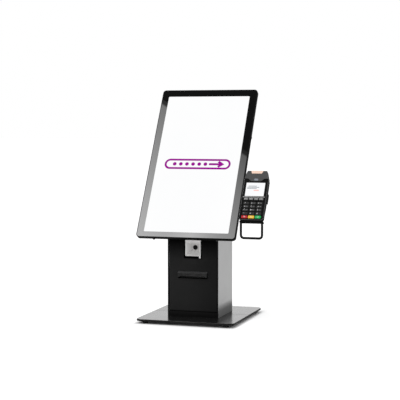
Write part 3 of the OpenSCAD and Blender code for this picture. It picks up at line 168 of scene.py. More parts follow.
def make_tone_group():
    """Slow drift between two shades, and fine flecks on top."""
    tree, given, result = shader_group(
        "tone_drift",
        {"Shade A": COLOUR, "Shade B": COLOUR, "Scale": FLOAT, "Fleck Scale": FLOAT,
         "Fleck": FLOAT},
        "Colour", COLOUR)
    slow = noise(tree, given["Vector"], given["Scale"], detail=4.0)
    fine = noise(tree, given["Vector"], given["Fleck Scale"], detail=2.0)
    fleck = math_node(tree, "MULTIPLY", remap(tree, fine, 0.35, 0.65, -0.5, 0.5), given["Fleck"])
    share = math_node(tree, "ADD", remap(tree, slow, *NOISE_SPAN, 0.0, 1.0), fleck, clamp=True)
    tree.links.new(mixed(tree, share, given["Shade A"], given["Shade B"]), result)
    return tree


def make_handling_group():
    """Roughness that drifts between two values, as on handled surfaces."""
    tree, given, result = shader_group("handling", {"Low": FLOAT, "High": FLOAT}, "Roughness")
    smear = noise(tree, given["Vector"], scale=14.0, detail=5.0, rough=0.6)
    tree.links.new(remap(tree, smear, *NOISE_SPAN, given["Low"], given["High"]), result)
    return tree


def make_grain_group():
    """Height of a fine moulded or sprayed grain."""
    tree, given, result = shader_group("surface_grain", {"Scale": FLOAT}, "Height")
    cell_share, soft_share = 0.6, 0.4
    cells = add(tree, "ShaderNodeTexVoronoi", feature="SMOOTH_F1")
    feed_all(tree, cells, Vector=given["Vector"], Scale=given["Scale"])
    soft = noise(tree, given["Vector"], given["Scale"], detail=2.0)
    height = math_node(tree, "ADD",
                       math_node(tree, "MULTIPLY", cells.outputs["Distance"], cell_share),
                       math_node(tree, "MULTIPLY", soft, soft_share))
    tree.links.new(height, result)
    return tree


def make_streak_group():
    """Mask of fine lines along one direction, as on rolled or brushed metal."""
    tree, given, result = shader_group(
        "brushed_lines", {"Stretch": VECTOR, "Scale": FLOAT}, "Mask")
    stretched = add(tree, "ShaderNodeVectorMath", operation="MULTIPLY")
    tree.links.new(given["Vector"], stretched.inputs[0])
    tree.links.new(given["Stretch"], stretched.inputs[1])
    lines = noise(tree, stretched.outputs[0], given["Scale"])
    tree.links.new(remap(tree, lines, *NOISE_SPAN, 0.0, 1.0), result)
    return tree


def make_wear_group():
    """Mask of rubbed edges, from how sharply the surface turns, broken up by noise."""
    tree, given, result = shader_group("edge_wear", {"Edge": FLOAT, "Amount": FLOAT}, "Mask")
    sharp = remap(tree, given["Edge"], 0.52, 0.62, 0.0, 1.0)
    patches = noise(tree, given["Vector"], scale=60.0, detail=4.0, rough=0.65)
    broken = math_node(tree, "MULTIPLY", sharp, remap(tree, patches, 0.4, 0.65, 0.2, 1.0))
    tree.links.new(math_node(tree, "MULTIPLY", broken, given["Amount"], clamp=True), result)
    return tree


def make_dust_group():
    """Mask of dust that settles on faces which look up."""
    tree, given, result = shader_group("settled_dust", {"Up": FLOAT, "Amount": FLOAT}, "Mask")
    level = remap(tree, given["Up"], 0.6, 1.0, 0.0, 1.0)
    patches = noise(tree, given["Vector"], scale=40.0, detail=6.0, rough=0.7)
    settled = math_node(tree, "MULTIPLY", level, remap(tree, patches, 0.35, 0.75, 0.0, 1.0))
    tree.links.new(math_node(tree, "MULTIPLY", settled, given["Amount"], clamp=True), result)
    return tree


def make_fade_group():
    """A value that grows along one direction, from nothing at Start to Amount at End."""
    tree, given, result = shader_group(
        "fade_along",
        {"Direction": VECTOR, "Start": FLOAT, "End": FLOAT, "Amount": FLOAT},
        "Extra")
    along = add(tree, "ShaderNodeVectorMath", operation="DOT_PRODUCT")
    tree.links.new(given["Vector"], along.inputs[0])
    tree.links.new(given["Direction"], along.inputs[1])
    grown = remap(tree, along.outputs["Value"], given["Start"], given["End"], 0.0, given["Amount"])
    tree.links.new(grown, result)
    return tree


TONE = make_tone_group()
HANDLING = make_handling_group()
GRAIN = make_grain_group()
STREAK = make_streak_group()
WEAR = make_wear_group()
DUST = make_dust_group()
FADE = make_fade_group()


# Finishes

DUST_SHADE, WHITE = (0.42, 0.41, 0.4), (1.0, 1.0, 1.0)


def use_group(tree, group, **values):
    node = add(tree, "ShaderNodeGroup", node_tree=group)
    return feed_all(tree, node, **values).outputs[0]


def new_material(name):
    material = bpy.data.materials.new(name)
    material.use_nodes = True
    return material, material.node_tree, material.node_tree.nodes["Principled BSDF"]


def finish(name, shades, rough, metallic=0.0, ior=1.5, specular=0.5, grain=None, wear=None,
           dust=0.0, coat=None, streak=None, fade=None, fleck=0.3, fleck_scale=900.0):
    """A solid finish: two close shades, a range of roughness, and what else it shows.

    grain is (scale, depth), wear (amount, shade), coat (weight, roughness), streak (stretch,
    scale, added roughness, depth) and fade (direction, start, end, added roughness).
    """
    material, tree, bsdf = new_material(name)
    feed_all(tree, bsdf, Metallic=metallic, IOR=ior, Specular_IOR_Level=specular)
    if coat:
        feed_all(tree, bsdf, Coat_Weight=coat[0], Coat_Roughness=coat[1])
    where = object_place(tree)
    colour = use_group(tree, TONE, Vector=where, Shade_A=shades[0], Shade_B=shades[1], Scale=6.0,
                       Fleck_Scale=fleck_scale, Fleck=fleck)
    roughness = use_group(tree, HANDLING, Vector=where, Low=rough[0], High=rough[1])
    height = None
    if fade:
        direction, start, end, amount = fade
        extra = use_group(tree, FADE, Vector=where, Direction=direction, Start=start, End=end,
                          Amount=amount)
        roughness = math_node(tree, "ADD", roughness, extra, clamp=True)
    if streak:
        stretch, scale, amount, depth = streak
        height = use_group(tree, STREAK, Vector=where, Stretch=stretch, Scale=scale)
        extra = math_node(tree, "MULTIPLY", height, amount)
        roughness = math_node(tree, "ADD", roughness, extra, clamp=True)
    if grain:
        scale, depth = grain
        height = use_group(tree, GRAIN, Vector=where, Scale=scale)
    if wear or dust:
        surface = add(tree, "ShaderNodeNewGeometry").outputs
    if wear:
        amount, shade = wear
        mask = use_group(tree, WEAR, Vector=where, Edge=surface["Pointiness"], Amount=amount)
        colour = mixed(tree, mask, colour, shade)
    if dust:
        up = split(tree, surface["Normal"])["Z"]
        mask = use_group(tree, DUST, Vector=where, Up=up, Amount=dust)
        colour = mixed(tree, mask, colour, DUST_SHADE)
    feed_all(tree, bsdf, Base_Color=colour, Roughness=roughness)
    if height is not None:
        bump = add(tree, "ShaderNodeBump")
        feed_all(tree, bump, Strength=1.0, Distance=depth, Height=height)
        tree.links.new(bump.outputs["Normal"], bsdf.inputs["Normal"])
    return material


def grey(value, warm=0.0):
    return (value * (1 + warm), value, value * (1 - warm))


FINISH = {
    "base_paint": finish("base_powder_coat", (grey(0.007), grey(0.01)), (0.16, 0.21), ior=1.6,
                         dust=0.02, coat=(0.36, 0.2), grain=(900, 0.004 * MM)),
    "shell_paint": finish("shell_powder_coat", (grey(0.016), grey(0.022)), (0.28, 0.34), ior=2.7,
                          specular=0.8, grain=(900, 0.01 * MM), dust=0.06,
                          fade=(DOWN, -54 * MM, -17 * MM, 1.2)),
    "door_paint": finish("door_powder_coat", (grey(0.018), grey(0.022)), (0.42, 0.5),
                         specular=0.02, grain=(900, 0.03 * MM), wear=(0.4, grey(0.03))),
    "foot_rubber": finish("foot_rubber", (grey(0.006), grey(0.01)), (0.7, 0.85), specular=0.2,
                          grain=(1500, 0.03 * MM)),
    "zinc_steel": finish("zinc_plate", (grey(0.5), grey(0.6, 0.01)), (0.28, 0.4), metallic=1.0,
                         streak=((1, 1, 14), 160, 0.12, 0.004 * MM)),
    "screw_steel": finish("screw_zinc", (grey(0.42), grey(0.58, 0.02)), (0.25, 0.36), metallic=1.0,
                          wear=(0.6, grey(0.75)), grain=(2500, 0.006 * MM)),
    "funnel_silver": finish("silver_lacquer", (grey(0.88, 0.01), grey(0.93, 0.01)), (0.4, 0.48),
                            specular=0.4, grain=(2200, 0.006 * MM), fleck=0.5, fleck_scale=3000),
    "inner_plastic": finish("moulded_black", (grey(0.02), grey(0.03)), (0.48, 0.6),
                            grain=(1400, 0.03 * MM), wear=(0.3, grey(0.08))),
    "bezel_plastic": finish("bezel_moulding", (grey(0.005), grey(0.007)), (0.4, 0.5),
                            specular=0.16, grain=(1600, 0.02 * MM), wear=(0.4, grey(0.05))),
    "head_ceramic": finish("head_ceramic", (grey(0.6, 0.02), grey(0.7, 0.02)), (0.3, 0.4),
                           grain=(1800, 0.01 * MM)),
    "platen_rubber": finish("platen_rubber", (grey(0.018), grey(0.026)), (0.6, 0.75),
                            grain=(1800, 0.02 * MM)),
    "edge_frame": finish("edge_moulding", (grey(0.005), grey(0.008)), (0.4, 0.5), specular=0.0,
                         coat=(0.08, 0.35), grain=(2600, 0.006 * MM), wear=(0.3, grey(0.03))),
    "rear_plastic": finish("rear_cover_paint", (grey(0.016), grey(0.024)), (0.42, 0.52),
                           grain=(1000, 0.03 * MM), wear=(0.4, grey(0.06)), dust=0.08),
    "edge_button": finish("button_moulding", (grey(0.012), grey(0.018)), (0.4, 0.5), specular=0.2,
                          grain=(1800, 0.015 * MM), wear=(0.5, grey(0.06))),
    "terminal_plastic": finish("terminal_moulding", (grey(0.004), grey(0.006)), (0.4, 0.5),
                               specular=0.0, coat=(0.1, 0.35), grain=(2200, 0.012 * MM),
                               wear=(0.3, grey(0.03))),
    "cradle_plastic": finish("cradle_moulding", (grey(0.004), grey(0.006)), (0.46, 0.56),
                             specular=0.0, coat=(0.1, 0.4), grain=(1500, 0.02 * MM),
                             wear=(0.3, grey(0.03))),
    "hoop_paint": finish("hoop_coating", (grey(0.004), grey(0.006)), (0.36, 0.46), specular=0.0,
                         coat=(0.15, 0.3), grain=(1200, 0.015 * MM)),
    "hood_plastic": finish("hood_moulding", (grey(0.068), grey(0.08)), (0.42, 0.5), specular=0.15,
                           grain=(2600, 0.006 * MM)),
    "patch": finish("contactless_panel", ((0.92, 0.66, 0.53), (0.98, 0.73, 0.6)), (0.3, 0.4),
                    specular=0.15, grain=(2600, 0.004 * MM)),
    "key_dark": finish("key_charcoal", (grey(0.019), grey(0.026)), (0.42, 0.5), specular=0.15,
                       grain=(2600, 0.01 * MM), wear=(0.4, grey(0.06))),
    "key_grey": finish("key_grey", (grey(0.2), grey(0.26)), (0.34, 0.42), specular=0.4,
                       grain=(2600, 0.01 * MM)),
    "window_dark": finish("scanner_filter", (grey(0.002), (0.004, 0.002, 0.002)), (0.06, 0.12),
                          specular=0.0, coat=(0.1, 0.05)),
    "cover_glass": finish("border_glass", (grey(0.002), grey(0.003)), (0.012, 0.024), ior=1.52,
                          fleck=0.1),
}
for slot, shades in (("key_red", ((0.46, 0.012, 0.016), (0.54, 0.018, 0.022))),
                     ("key_yellow", ((0.88, 0.52, 0.04), (0.96, 0.6, 0.07))),
                     ("key_green", ((0.01, 0.42, 0.09), (0.02, 0.5, 0.13)))):
    FINISH[slot] = finish(slot, shades, (0.38, 0.46), specular=0.2, grain=(2600, 0.01 * MM))

# Finishes of single faces and of the small pieces that only the scene has
SHELL_FRONT = finish("shell_front_coat", (grey(0.005), grey(0.007)), (0.44, 0.52), specular=0.1,
                     grain=(900, 0.02 * MM), wear=(0.4, grey(0.03)))
BASE_EDGE = finish("base_edge_coat", (grey(0.006), grey(0.009)), (0.4, 0.5), specular=0.0,
                   coat=(0.2, 0.35), grain=(900, 0.02 * MM), wear=(0.4, grey(0.04)))
DARK_STEEL = finish("blackened_steel", (grey(0.02), grey(0.03)), (0.35, 0.45), specular=0.2,
                    streak=((1, 1, 10), 200, 0.1, 0.003 * MM))
# Painted highlight: a silver-grey finish for the light that the terminal's ledge catches
LEDGE_PAINTED_HIGHLIGHT = finish("ledge_painted_highlight", (grey(0.25), grey(0.31)), (0.3, 0.38), metallic=0.3,
                    streak=((1, 12, 12), 200, 0.08, 0.003 * MM))
# Painted highlight with a real gloss: a lighter, fully coated copy of the terminal's black for the
# rim of its top
TERMINAL_RIM_GLOSS_AND_HIGHLIGHT = finish("terminal_rim", (grey(0.03), grey(0.04)), (0.26, 0.34), coat=(1.0, 0.2),
                      grain=(2600, 0.004 * MM))
# Painted highlight: a lighter copy of the bezel's black for its upper slope
BEZEL_PAINTED_HIGHLIGHT = finish("bezel_slope", (grey(0.06), grey(0.073)), (0.4, 0.5), specular=0.2,
                     grain=(1600, 0.02 * MM))
# Painted shade: a near-black finish for faces in deep shade, in the door's gap, behind the door
# and under the bezel
PAINTED_DEEP_SHADE = finish("painted_deep_shade_finish", (grey(0.0015), grey(0.0025)), (0.6, 0.7), specular=0.0,
                    grain=(1600, 0.02 * MM))
# Painted light: a whiter copy of the funnel's silver, without its painted shade, for the funnel's
# lower wall
FUNNEL_PAINTED_LIGHT = finish("funnel_floor", (grey(0.95, 0.01), grey(0.97, 0.01)), (0.4, 0.48),
                      specular=0.4, grain=(2200, 0.006 * MM), fleck=0.5, fleck_scale=3000)
HOOD_LIGHT = finish("hood_light_lens", ((0.2, 0.22, 0.26), (0.27, 0.29, 0.33)), (0.2, 0.3),
                    grain=(2600, 0.003 * MM))
FAINT_LEGEND = finish("faint_ink", (grey(0.2), grey(0.26)), (0.4, 0.5), grain=(3000, 0.002 * MM))
LEGEND = finish("legend_ink", (grey(0.72), grey(0.8)), (0.4, 0.5), grain=(3000, 0.002 * MM))


def recolour(material, factor, shade):
    """Mixes a further colour over a finish's own."""
    tree = material.node_tree
    base = tree.nodes["Principled BSDF"].inputs["Base Color"]
    tree.links.new(mixed(tree, factor, base.links[0].from_socket, shade), base)


def paint_shade_along(material, direction, start, end, shade):
    """Paints shade into a finish's colour along a direction, as towards the far end of a hollow.
    """
    tree = material.node_tree
    shade_share = use_group(tree, FADE, Vector=object_place(tree), Direction=direction, Start=start,
                     End=end, Amount=1.0)
    recolour(material, shade_share, shade)


def paper_finish():
    """Thermal paper: smooth on the outside, fine wound layers on the ends."""
    material = finish("thermal_paper", (grey(0.8, 0.01), grey(0.86, 0.01)), (0.62, 0.74),
                      grain=(900, 0.01 * MM))
    tree = material.node_tree
    low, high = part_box("paper_roll")
    centred = feed_all(tree, add(tree, "ShaderNodeMapping"), Vector=object_place(tree),
                       Location=-(low + high) / 2)
    layers = add(tree, "ShaderNodeTexWave", wave_type="RINGS", rings_direction="X")
    feed_all(tree, layers, Vector=centred.outputs["Vector"], Scale=420, Distortion=0.6, Detail=2)
    layer_contrast = 0.28
    share = math_node(tree, "MULTIPLY", layers.outputs["Fac"], layer_contrast)
    recolour(material, share, grey(0.5, 0.03))
    return material


def board_finish():
    """Green solder resist with faint copper tracks under it."""
    material = finish("solder_resist", ((0.012, 0.09, 0.035), (0.02, 0.13, 0.05)), (0.3, 0.4),
                      grain=(1500, 0.01 * MM))
    tree = material.node_tree
    tracks = add(tree, "ShaderNodeTexBrick")
    feed_all(tree, tracks, Vector=object_place(tree), Scale=120, Color1=(0.02, 0.14, 0.05),
             Color2=(0.015, 0.1, 0.04), Mortar=(0.05, 0.22, 0.09))
    recolour(material, factor=0.6, shade=tracks.outputs["Color"])
    return material


def lit_finish(name, shade, edge_shade, scale):
    """A lit display: light that varies a little over the panel."""
    material, tree, bsdf = new_material(name)
    where = object_place(tree)
    light = use_group(tree, TONE, Vector=where, Shade_A=edge_shade, Shade_B=shade, Scale=scale,
                      Fleck_Scale=4000.0, Fleck=0.15)
    handled = use_group(tree, HANDLING, Vector=where, Low=0.03, High=0.055)
    feed_all(tree, bsdf, Base_Color=(0.004, 0.004, 0.005), Specular_IOR_Level=0.0,
             Roughness=handled, Emission_Color=light, Emission_Strength=1.0)
    return material


# Painted shade: darker towards the funnel's window, the sill, and the door's foot, top and right
# side
DOOR_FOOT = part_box("front_door")[0].z
paint_shade_along(FINISH["funnel_silver"], INWARDS, -74 * MM, -50 * MM, grey(0.64, 0.01))
paint_shade_along(SHELL_FRONT, DOWN, -34 * MM, -15 * MM, grey(0.0005))
paint_shade_along(FINISH["door_paint"], DOWN, -(DOOR_FOOT + 4 * MM), -DOOR_FOOT, grey(0.001))
paint_shade_along(FINISH["door_paint"], UP, 190 * MM, 248 * MM, grey(0.0003))
paint_shade_along(FINISH["door_paint"], RIGHT, -20 * MM, 180 * MM, grey(0.002))
paint_shade_along(SHELL_FRONT, RIGHT, 40 * MM, 100 * MM, grey(0.0005))
FINISH["paper"] = paper_finish()
FINISH["board_green"] = board_finish()
FINISH["lcd_panel"] = lit_finish("lit_screen", WHITE, (0.97, 0.975, 0.98), 3.0)
FINISH["terminal_lcd"] = lit_finish("lit_terminal_screen", WHITE, (0.95, 0.96, 0.98), 30.0)
LIT_PURPLE = lit_finish("screen_purple", (0.34, 0.004, 0.3), (0.3, 0.003, 0.27), 20.0)
LIT_GREY = lit_finish("screen_grey", (0.3, 0.33, 0.36), (0.24, 0.27, 0.3), 40.0)
LIT_PINK = lit_finish("screen_pink", (1.0, 0.62, 0.57), (0.95, 0.56, 0.51), 40.0)


# Mesh helpers

ALL_EDGES, MERGE = None, 1e-6


def add_object(name, data):
    obj = bpy.data.objects.new(name, data)
    bpy.context.scene.collection.objects.link(obj)
    return obj


def make_piece(name, mesh, node, materials, replaces=()):
    """A piece that rides the body of a CAD node, with the materials given."""
    for material in materials:
        mesh.materials.append(material)
    piece = add_object(name, mesh)
    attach(piece, BODY_OF[node])
    if replaces:
        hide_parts(*replaces)


def evaluated_mesh(obj):
    """The mesh that an object's modifiers or curve give; the object is removed."""
    graph = bpy.context.evaluated_depsgraph_get()
    mesh = bpy.data.meshes.new_from_object(obj.evaluated_get(graph), preserve_all_data_layers=True,
                                           depsgraph=graph)
    bpy.data.objects.remove(obj)
    return mesh


def shaded(name, bm, turn=35):
    """The finished mesh of a bmesh: round faces smooth, flat faces flat."""
    for face in bm.faces:
        face.smooth = True
    mesh = bpy.data.meshes.new(name)
    bm.to_mesh(mesh)
    bm.free()
    mesh.set_sharp_from_angle(angle=math.radians(turn))
    carrier = add_object(name + "_carrier", mesh)
    carrier.modifiers.new("flat_faces", "WEIGHTED_NORMAL").keep_sharp = True
    result = evaluated_mesh(carrier)
    bpy.data.meshes.remove(mesh)
    result.name = name
    return result


def sharp_edges(bm, pick):
    """The edges that turn sharply, and that the test picks by their middle point."""
    limit = math.radians(30)
    edges = [e for e in bm.edges if len(e.link_faces) == 2 and e.calc_face_angle(0) > limit]
    if pick is ALL_EDGES:
        return edges
    return [e for e in edges if pick((e.verts[0].co + e.verts[1].co) / 2, e)]


def solid_of(node):
    """A clean copy of a CAD solid: its triangles joined into whole faces."""
    bm = bmesh.new()
    bm.from_mesh(NODES[node].data)
    bmesh.ops.remove_doubles(bm, verts=bm.verts, dist=MERGE)
    bmesh.ops.dissolve_limit(bm, angle_limit=math.radians(0.4), verts=bm.verts, edges=bm.edges)
    return bm


def dress(node, *eased, others=()):
    """Replaces a CAD solid by the same solid with eased edges.

    eased lists (which edges, width in mm, steps), and others lists further finishes, each with
    the test for the faces that have it.
    """
    bm = solid_of(node)
    for pick, width, steps in eased:
        edges = sharp_edges(bm, pick)
        if edges:
            bmesh.ops.bevel(bm, geom=edges, offset=width * MM, offset_type="OFFSET",
                            segments=steps, profile=0.5, affect="EDGES", clamp_overlap=False,
                            loop_slide=True)
    finishes = [FINISH[SLOT_OF[node]]]
    bm.normal_update()
    for material, has_it in others:
        finishes.append(material)
        for face in bm.faces:
            if has_it(face):
                face.material_index = len(finishes) - 1
    name = node + "_dressed"
    make_piece(name, shaded(name, bm), node, finishes, [node])


def ring(width, height, radius, inset=0.0, drop=0.0, steps=6):
    """Points of a rounded rectangle, counter-clockwise."""
    smallest_r = 0.02 * MM
    w, h, r = width / 2 - inset, height / 2 - inset, max(radius - inset, smallest_r)
    points = []
    for cx, cy, start in ((1, 1, 0), (-1, 1, 90), (-1, -1, 180), (1, -1, 270)):
        for i in range(steps + 1):
            a = math.radians(start + 90 * i / steps)
            points.append((cx * (w - r) + r * math.cos(a), cy * (h - r) + r * math.sin(a) - drop))
    return points


def circle(radius, steps):
    turns = [2 * math.pi * i / steps for i in range(steps)]
    return [(radius * math.cos(a), radius * math.sin(a)) for a in turns]


def at_height(points, z):
    return [(x, y, z) for x, y in points]


def shifted(points, x, y):
    return [(px + x, py + y) for px, py in points]


def in_mm(points):
    return [(x * MM, y * MM) for x, y in points]


def loft(bm, rings, closed=True):
    """Skins between rings of points; returns the strips and the last closing face."""
    rows = [[bm.verts.new(p) for p in points] for points in rings]
    count = len(rows[0])
    strips = []
    for lower, upper in zip(rows, rows[1:]):
        corners = [(i, (i + 1) % count) for i in range(count)]
        strips.append([bm.faces.new((lower[i], lower[j], upper[j], upper[i])) for i, j in corners])
    if not closed:
        return strips, None
    bm.faces.new(list(reversed(rows[0])))
    return strips, bm.faces.new(rows[-1])


def flat_shape(name, outlines, z, matrix, node, material):
    """Thin flat shapes on a surface: each outline is a list of points."""
    half_thickness = 0.04 * MM
    bm = bmesh.new()
    for points in outlines:
        loft(bm, [at_height(points, z - half_thickness), at_height(points, z + half_thickness)])
    bmesh.ops.recalc_face_normals(bm, faces=bm.faces)
    bm.transform(matrix)
    make_piece(name, shaded(name, bm), node, [material])


# Display

def build_touch_glass():
    edge_r, foot, border, arc_steps = 0.8 * MM, 0.3 * MM, 2.2 * MM, 4
    insets = [(foot, -GLASS_T), (0.0, -GLASS_T + foot)]
    for i in range(arc_steps + 1):
        a = math.radians(90 * i / arc_steps)
        insets.append((edge_r * (1 - math.cos(a)), edge_r * (math.sin(a) - 1)))
    insets.append((border, 0))
    rings = [at_height(ring(GLASS_W, GLASS_H, GLASS_R, inset), z) for inset, z in insets]
    rings.append(at_height(ring(LIT_W, LIT_H, LIT_R, drop=LIT_DROP), 0))
    lit_index, edge_index = 1, 2
    bm = bmesh.new()
    strips, lit = loft(bm, rings)
    lit.material_index = lit_index
    for strip in strips[:-1]:
        for face in strip:
            face.material_index = edge_index
    bm.transform(HEAD)
    make_piece("touch_glass", shaded("touch_glass", bm), "cover_glass",
               [FINISH["cover_glass"], FINISH["lcd_panel"], FINISH["edge_frame"]],
               ["cover_glass", "lcd_panel"])


def arc_band(radius, width, start, end, steps=20):
    """Outline of a piece of a round band, between two angles in degrees."""
    turns = [math.radians(start + (end - start) * i / steps) for i in range(steps + 1)]
    outer = [(radius * math.cos(a), radius * math.sin(a)) for a in turns]
    inner_r = radius - width
    return outer + [(x * inner_r / radius, y * inner_r / radius) for x, y in reversed(outer)]


def outline_band(width, height, radius, stroke, steps=10):
    """A rounded frame as two halves, so that each is one closed outline."""
    outer = ring(width, height, radius, steps=steps)
    inner = ring(width, height, radius, stroke, steps=steps)
    half = len(outer) // 2
    first = outer[:half + 1] + list(reversed(inner[:half + 1]))
    second = outer[half:] + outer[:1] + inner[:1] + list(reversed(inner[half:]))
    return [first, second]


def build_screen_motif():
    """A plain start button with a row of dots and an arrow, as on any waiting screen."""
    below_centre, above_glass = -8 * MM, 0.06 * MM
    first_dot, dot_pitch, dot_count, dot_d = -74 * MM, 20 * MM, 6, 12 * MM
    shapes = outline_band(width=214 * MM, height=36 * MM, radius=18 * MM, stroke=6.5 * MM)
    dot = ring(dot_d, dot_d, dot_d / 2, steps=8)
    shapes += [shifted(dot, first_dot + dot_pitch * i, 0) for i in range(dot_count)]
    shaft, shaft_x = ring(width=40 * MM, height=7 * MM, radius=3.4 * MM), 57 * MM
    shapes.append(shifted(shaft, shaft_x, 0))
    shapes.append(in_mm([(70, -11.5), (87, 0), (70, 11.5), (64.5, 6.5), (74.5, 0), (64.5, -6.5)]))
    flat_shape("screen_start_button", [shifted(points, 0, below_centre) for points in shapes],
               above_glass, HEAD, "cover_glass", LIT_PURPLE)


# Terminal

def on_terminal(x, y, z):
    return TERMINAL @ Matrix.Translation((x, y, z))


def build_keycap(node, width, height, top, x, y):
    """A cap with a hidden lip under the housing and a soft dome on top."""
    corner, lip = 1.6 * MM, -0.8 * MM
    lip_low, lip_high = 12.7 * MM, 14.7 * MM
    profile = [(0.0, 10.1 * MM), (0.0, lip_low), (lip, lip_low), (lip, lip_high), (0.0, lip_high)]
    dome = in_mm([(0.02, 1.1), (0.16, 0.5), (0.45, 0.16), (0.9, 0.03), (1.6, 0.0)])
    profile += [(inset, top - below) for inset, below in dome]
    bm = bmesh.new()
    loft(bm, [at_height(ring(width, height, corner, inset), z) for inset, z in profile])
    bm.transform(on_terminal(x, y, 0))
    name = node + "_cap"
    make_piece(name, shaded(name, bm), node, [FINISH[SLOT_OF[node]]], [node])


def build_glyph(name, text, place, node):
    curve = bpy.data.curves.new(name, "FONT")
    curve.body = text
    curve.size = 6.4 * MM
    curve.align_x = "CENTER"
    curve.align_y = "CENTER"
    curve.extrude = 0.03 * MM
    mesh = evaluated_mesh(add_object(name + "_curve", curve))
    mesh.name = name
    mesh.materials.clear()
    mesh.transform(place)
    make_piece(name, mesh, node, [LEGEND])


def number_key_spot(n):
    """Place of a number key; the keys stand in rows of three."""
    return (n % 3 - 1) * KEY_PITCH_X, KEY_ROW - n // 3 * KEY_PITCH_Y


def build_number_keys():
    glyphs = dict(zip(NUMBER_KEYS, "123456789*0#"))
    glyph_shift, bar_shift, bar_pitch = -3.6 * MM, 1.2 * MM, 2 * MM
    bar = ring(width=1.2 * MM, height=2.2 * MM, radius=0.4 * MM, steps=3)
    bars = [shifted(bar, bar_shift + bar_pitch * i, 0) for i in range(3)]
    for n, label in enumerate(NUMBER_KEYS):
        node = "key_" + label
        x, y = number_key_spot(n)
        build_keycap(node, KEY_W, KEY_H, KEY_TOP, x, y)
        if label in glyphs:
            place = on_terminal(x + glyph_shift, y, KEY_TOP)
            build_glyph(node + "_legend", glyphs[label], place, node)
        if label in "23456789":
            flat_shape(node + "_marks", bars, 0, on_terminal(x, y, KEY_TOP), node, FAINT_LEGEND)
    circle_r, stroke = 2.4 * MM, 0.7 * MM
    marks = {
        "cancel": [in_mm([(-2.2, -1.6), (-1.6, -2.2), (2.2, 1.6), (1.6, 2.2)]),
                   in_mm([(-2.2, 1.6), (1.6, -2.2), (2.2, -1.6), (-1.6, 2.2)])],
        "clear": [in_mm([(1.2, -2.3), (1.9, -1.7), (-0.5, 0), (1.9, 1.7), (1.2, 2.3), (-1.7, 0)])],
        "enter": [arc_band(circle_r, stroke, 0, 180), arc_band(circle_r, stroke, 180, 360)],
    }
    for label, outlines in marks.items():
        node = "key_" + label
        place = on_terminal(*number_key_spot(NUMBER_KEYS.index(label)), KEY_TOP)
        flat_shape(node + "_legend", outlines, 0, place, node, LEGEND)


def build_function_keys():
    """Four keys under the display, marked with one to four dots."""
    dot_d, dot_pitch = 1.1 * MM, 2 * MM
    dot = ring(dot_d, dot_d, dot_d / 2, steps=4)
    for n in range(FKEY_COUNT):
        node = "function_key_%d" % (n + 1)
        x = (n - (FKEY_COUNT - 1) / 2) * FKEY_PITCH
        build_keycap(node, FKEY_W, FKEY_H, FKEY_TOP, x, FKEY_ROW)
        dots = [shifted(dot, (i - n / 2) * dot_pitch, 0) for i in range(n + 1)]
        flat_shape(node + "_legend", dots, 0, on_terminal(x, FKEY_ROW, FKEY_TOP), node, LEGEND)


def build_hood_light():
    """A pale signal light on the tongue of the terminal's hood, flush with its slope."""
    tongue_y, tongue_z, slope = 51.2 * MM, 23.0 * MM, math.atan2(2.5, 24)
    place = on_terminal(0, tongue_y, tongue_z) @ Matrix.Rotation(slope, 4, "X")
    oval, above_hood = ring(width=13 * MM, height=6 * MM, radius=3 * MM), 0.02 * MM
    flat_shape("hood_light", [oval], above_hood, place, "terminal_hood", HOOD_LIGHT)


def build_terminal_screen():
    """The terminal's display: a lit area with a dark rim in the housing's window."""
    foot_z, flange_z, top_z = 12 * MM, 15 * MM, 19.4 * MM
    flange, foot_r, corner_r = 4 * MM, 0.5 * MM, 1 * MM
    w, h, rise = 59 * MM, 45.75 * MM, 19.875 * MM
    foot = shifted(ring(w + flange, h + flange, foot_r, steps=3), 0, rise)
    rings = [at_height(foot, foot_z), at_height(foot, flange_z)]
    play, bevel, rim = 0.2 * MM, 0.3 * MM, 0.6 * MM
    face = [(play, flange_z), (play, top_z - bevel), (0.35 * MM, top_z), (rim, top_z)]
    for inset, z in face:
        rings.append(at_height(shifted(ring(w, h, corner_r, inset, steps=3), 0, rise), z))
    bm = bmesh.new()
    lit = loft(bm, rings)[1]
    lit.material_index = 1
    bm.transform(TERMINAL)
    make_piece("terminal_screen", shaded("terminal_screen", bm), "terminal_display",
               [FINISH["cover_glass"], FINISH["terminal_lcd"]], ["terminal_display"])
    # Width, place across and place above the middle of each line, in mm
    line_places = ((26, -9, 11), (37, -6.5, 7), (30, -10, 3))
    line_h, line_r = 2 * MM, 0.9 * MM
    lines = [shifted(ring(width * MM, line_h, line_r, steps=3), x * MM, rise + up * MM)
             for width, x, up in line_places]
    bar, bar_x, bar_drop = ring(16 * MM, 4 * MM, 0.8 * MM, steps=3), 4 * MM, 3 * MM
    bars = [shifted(bar, bar_x, rise - bar_drop)]
    above_screen = top_z + 0.06 * MM
    flat_shape("terminal_wait_lines", lines, above_screen, TERMINAL, "terminal_display", LIT_GREY)
    flat_shape("terminal_wait_bar", bars, above_screen, TERMINAL, "terminal_display", LIT_PINK)


# Screws and feet, placed by geometry nodes

def spot_mesh(name, spots):
    """One vertex for each spot, with the direction that its copy faces."""
    mesh = bpy.data.meshes.new(name)
    mesh.from_pydata([place for place, direction in spots], [], [])
    facing = mesh.attributes.new("facing", "FLOAT_VECTOR", "POINT")
    facing.data.foreach_set("vector", [c for place, direction in spots for c in direction])
    return mesh


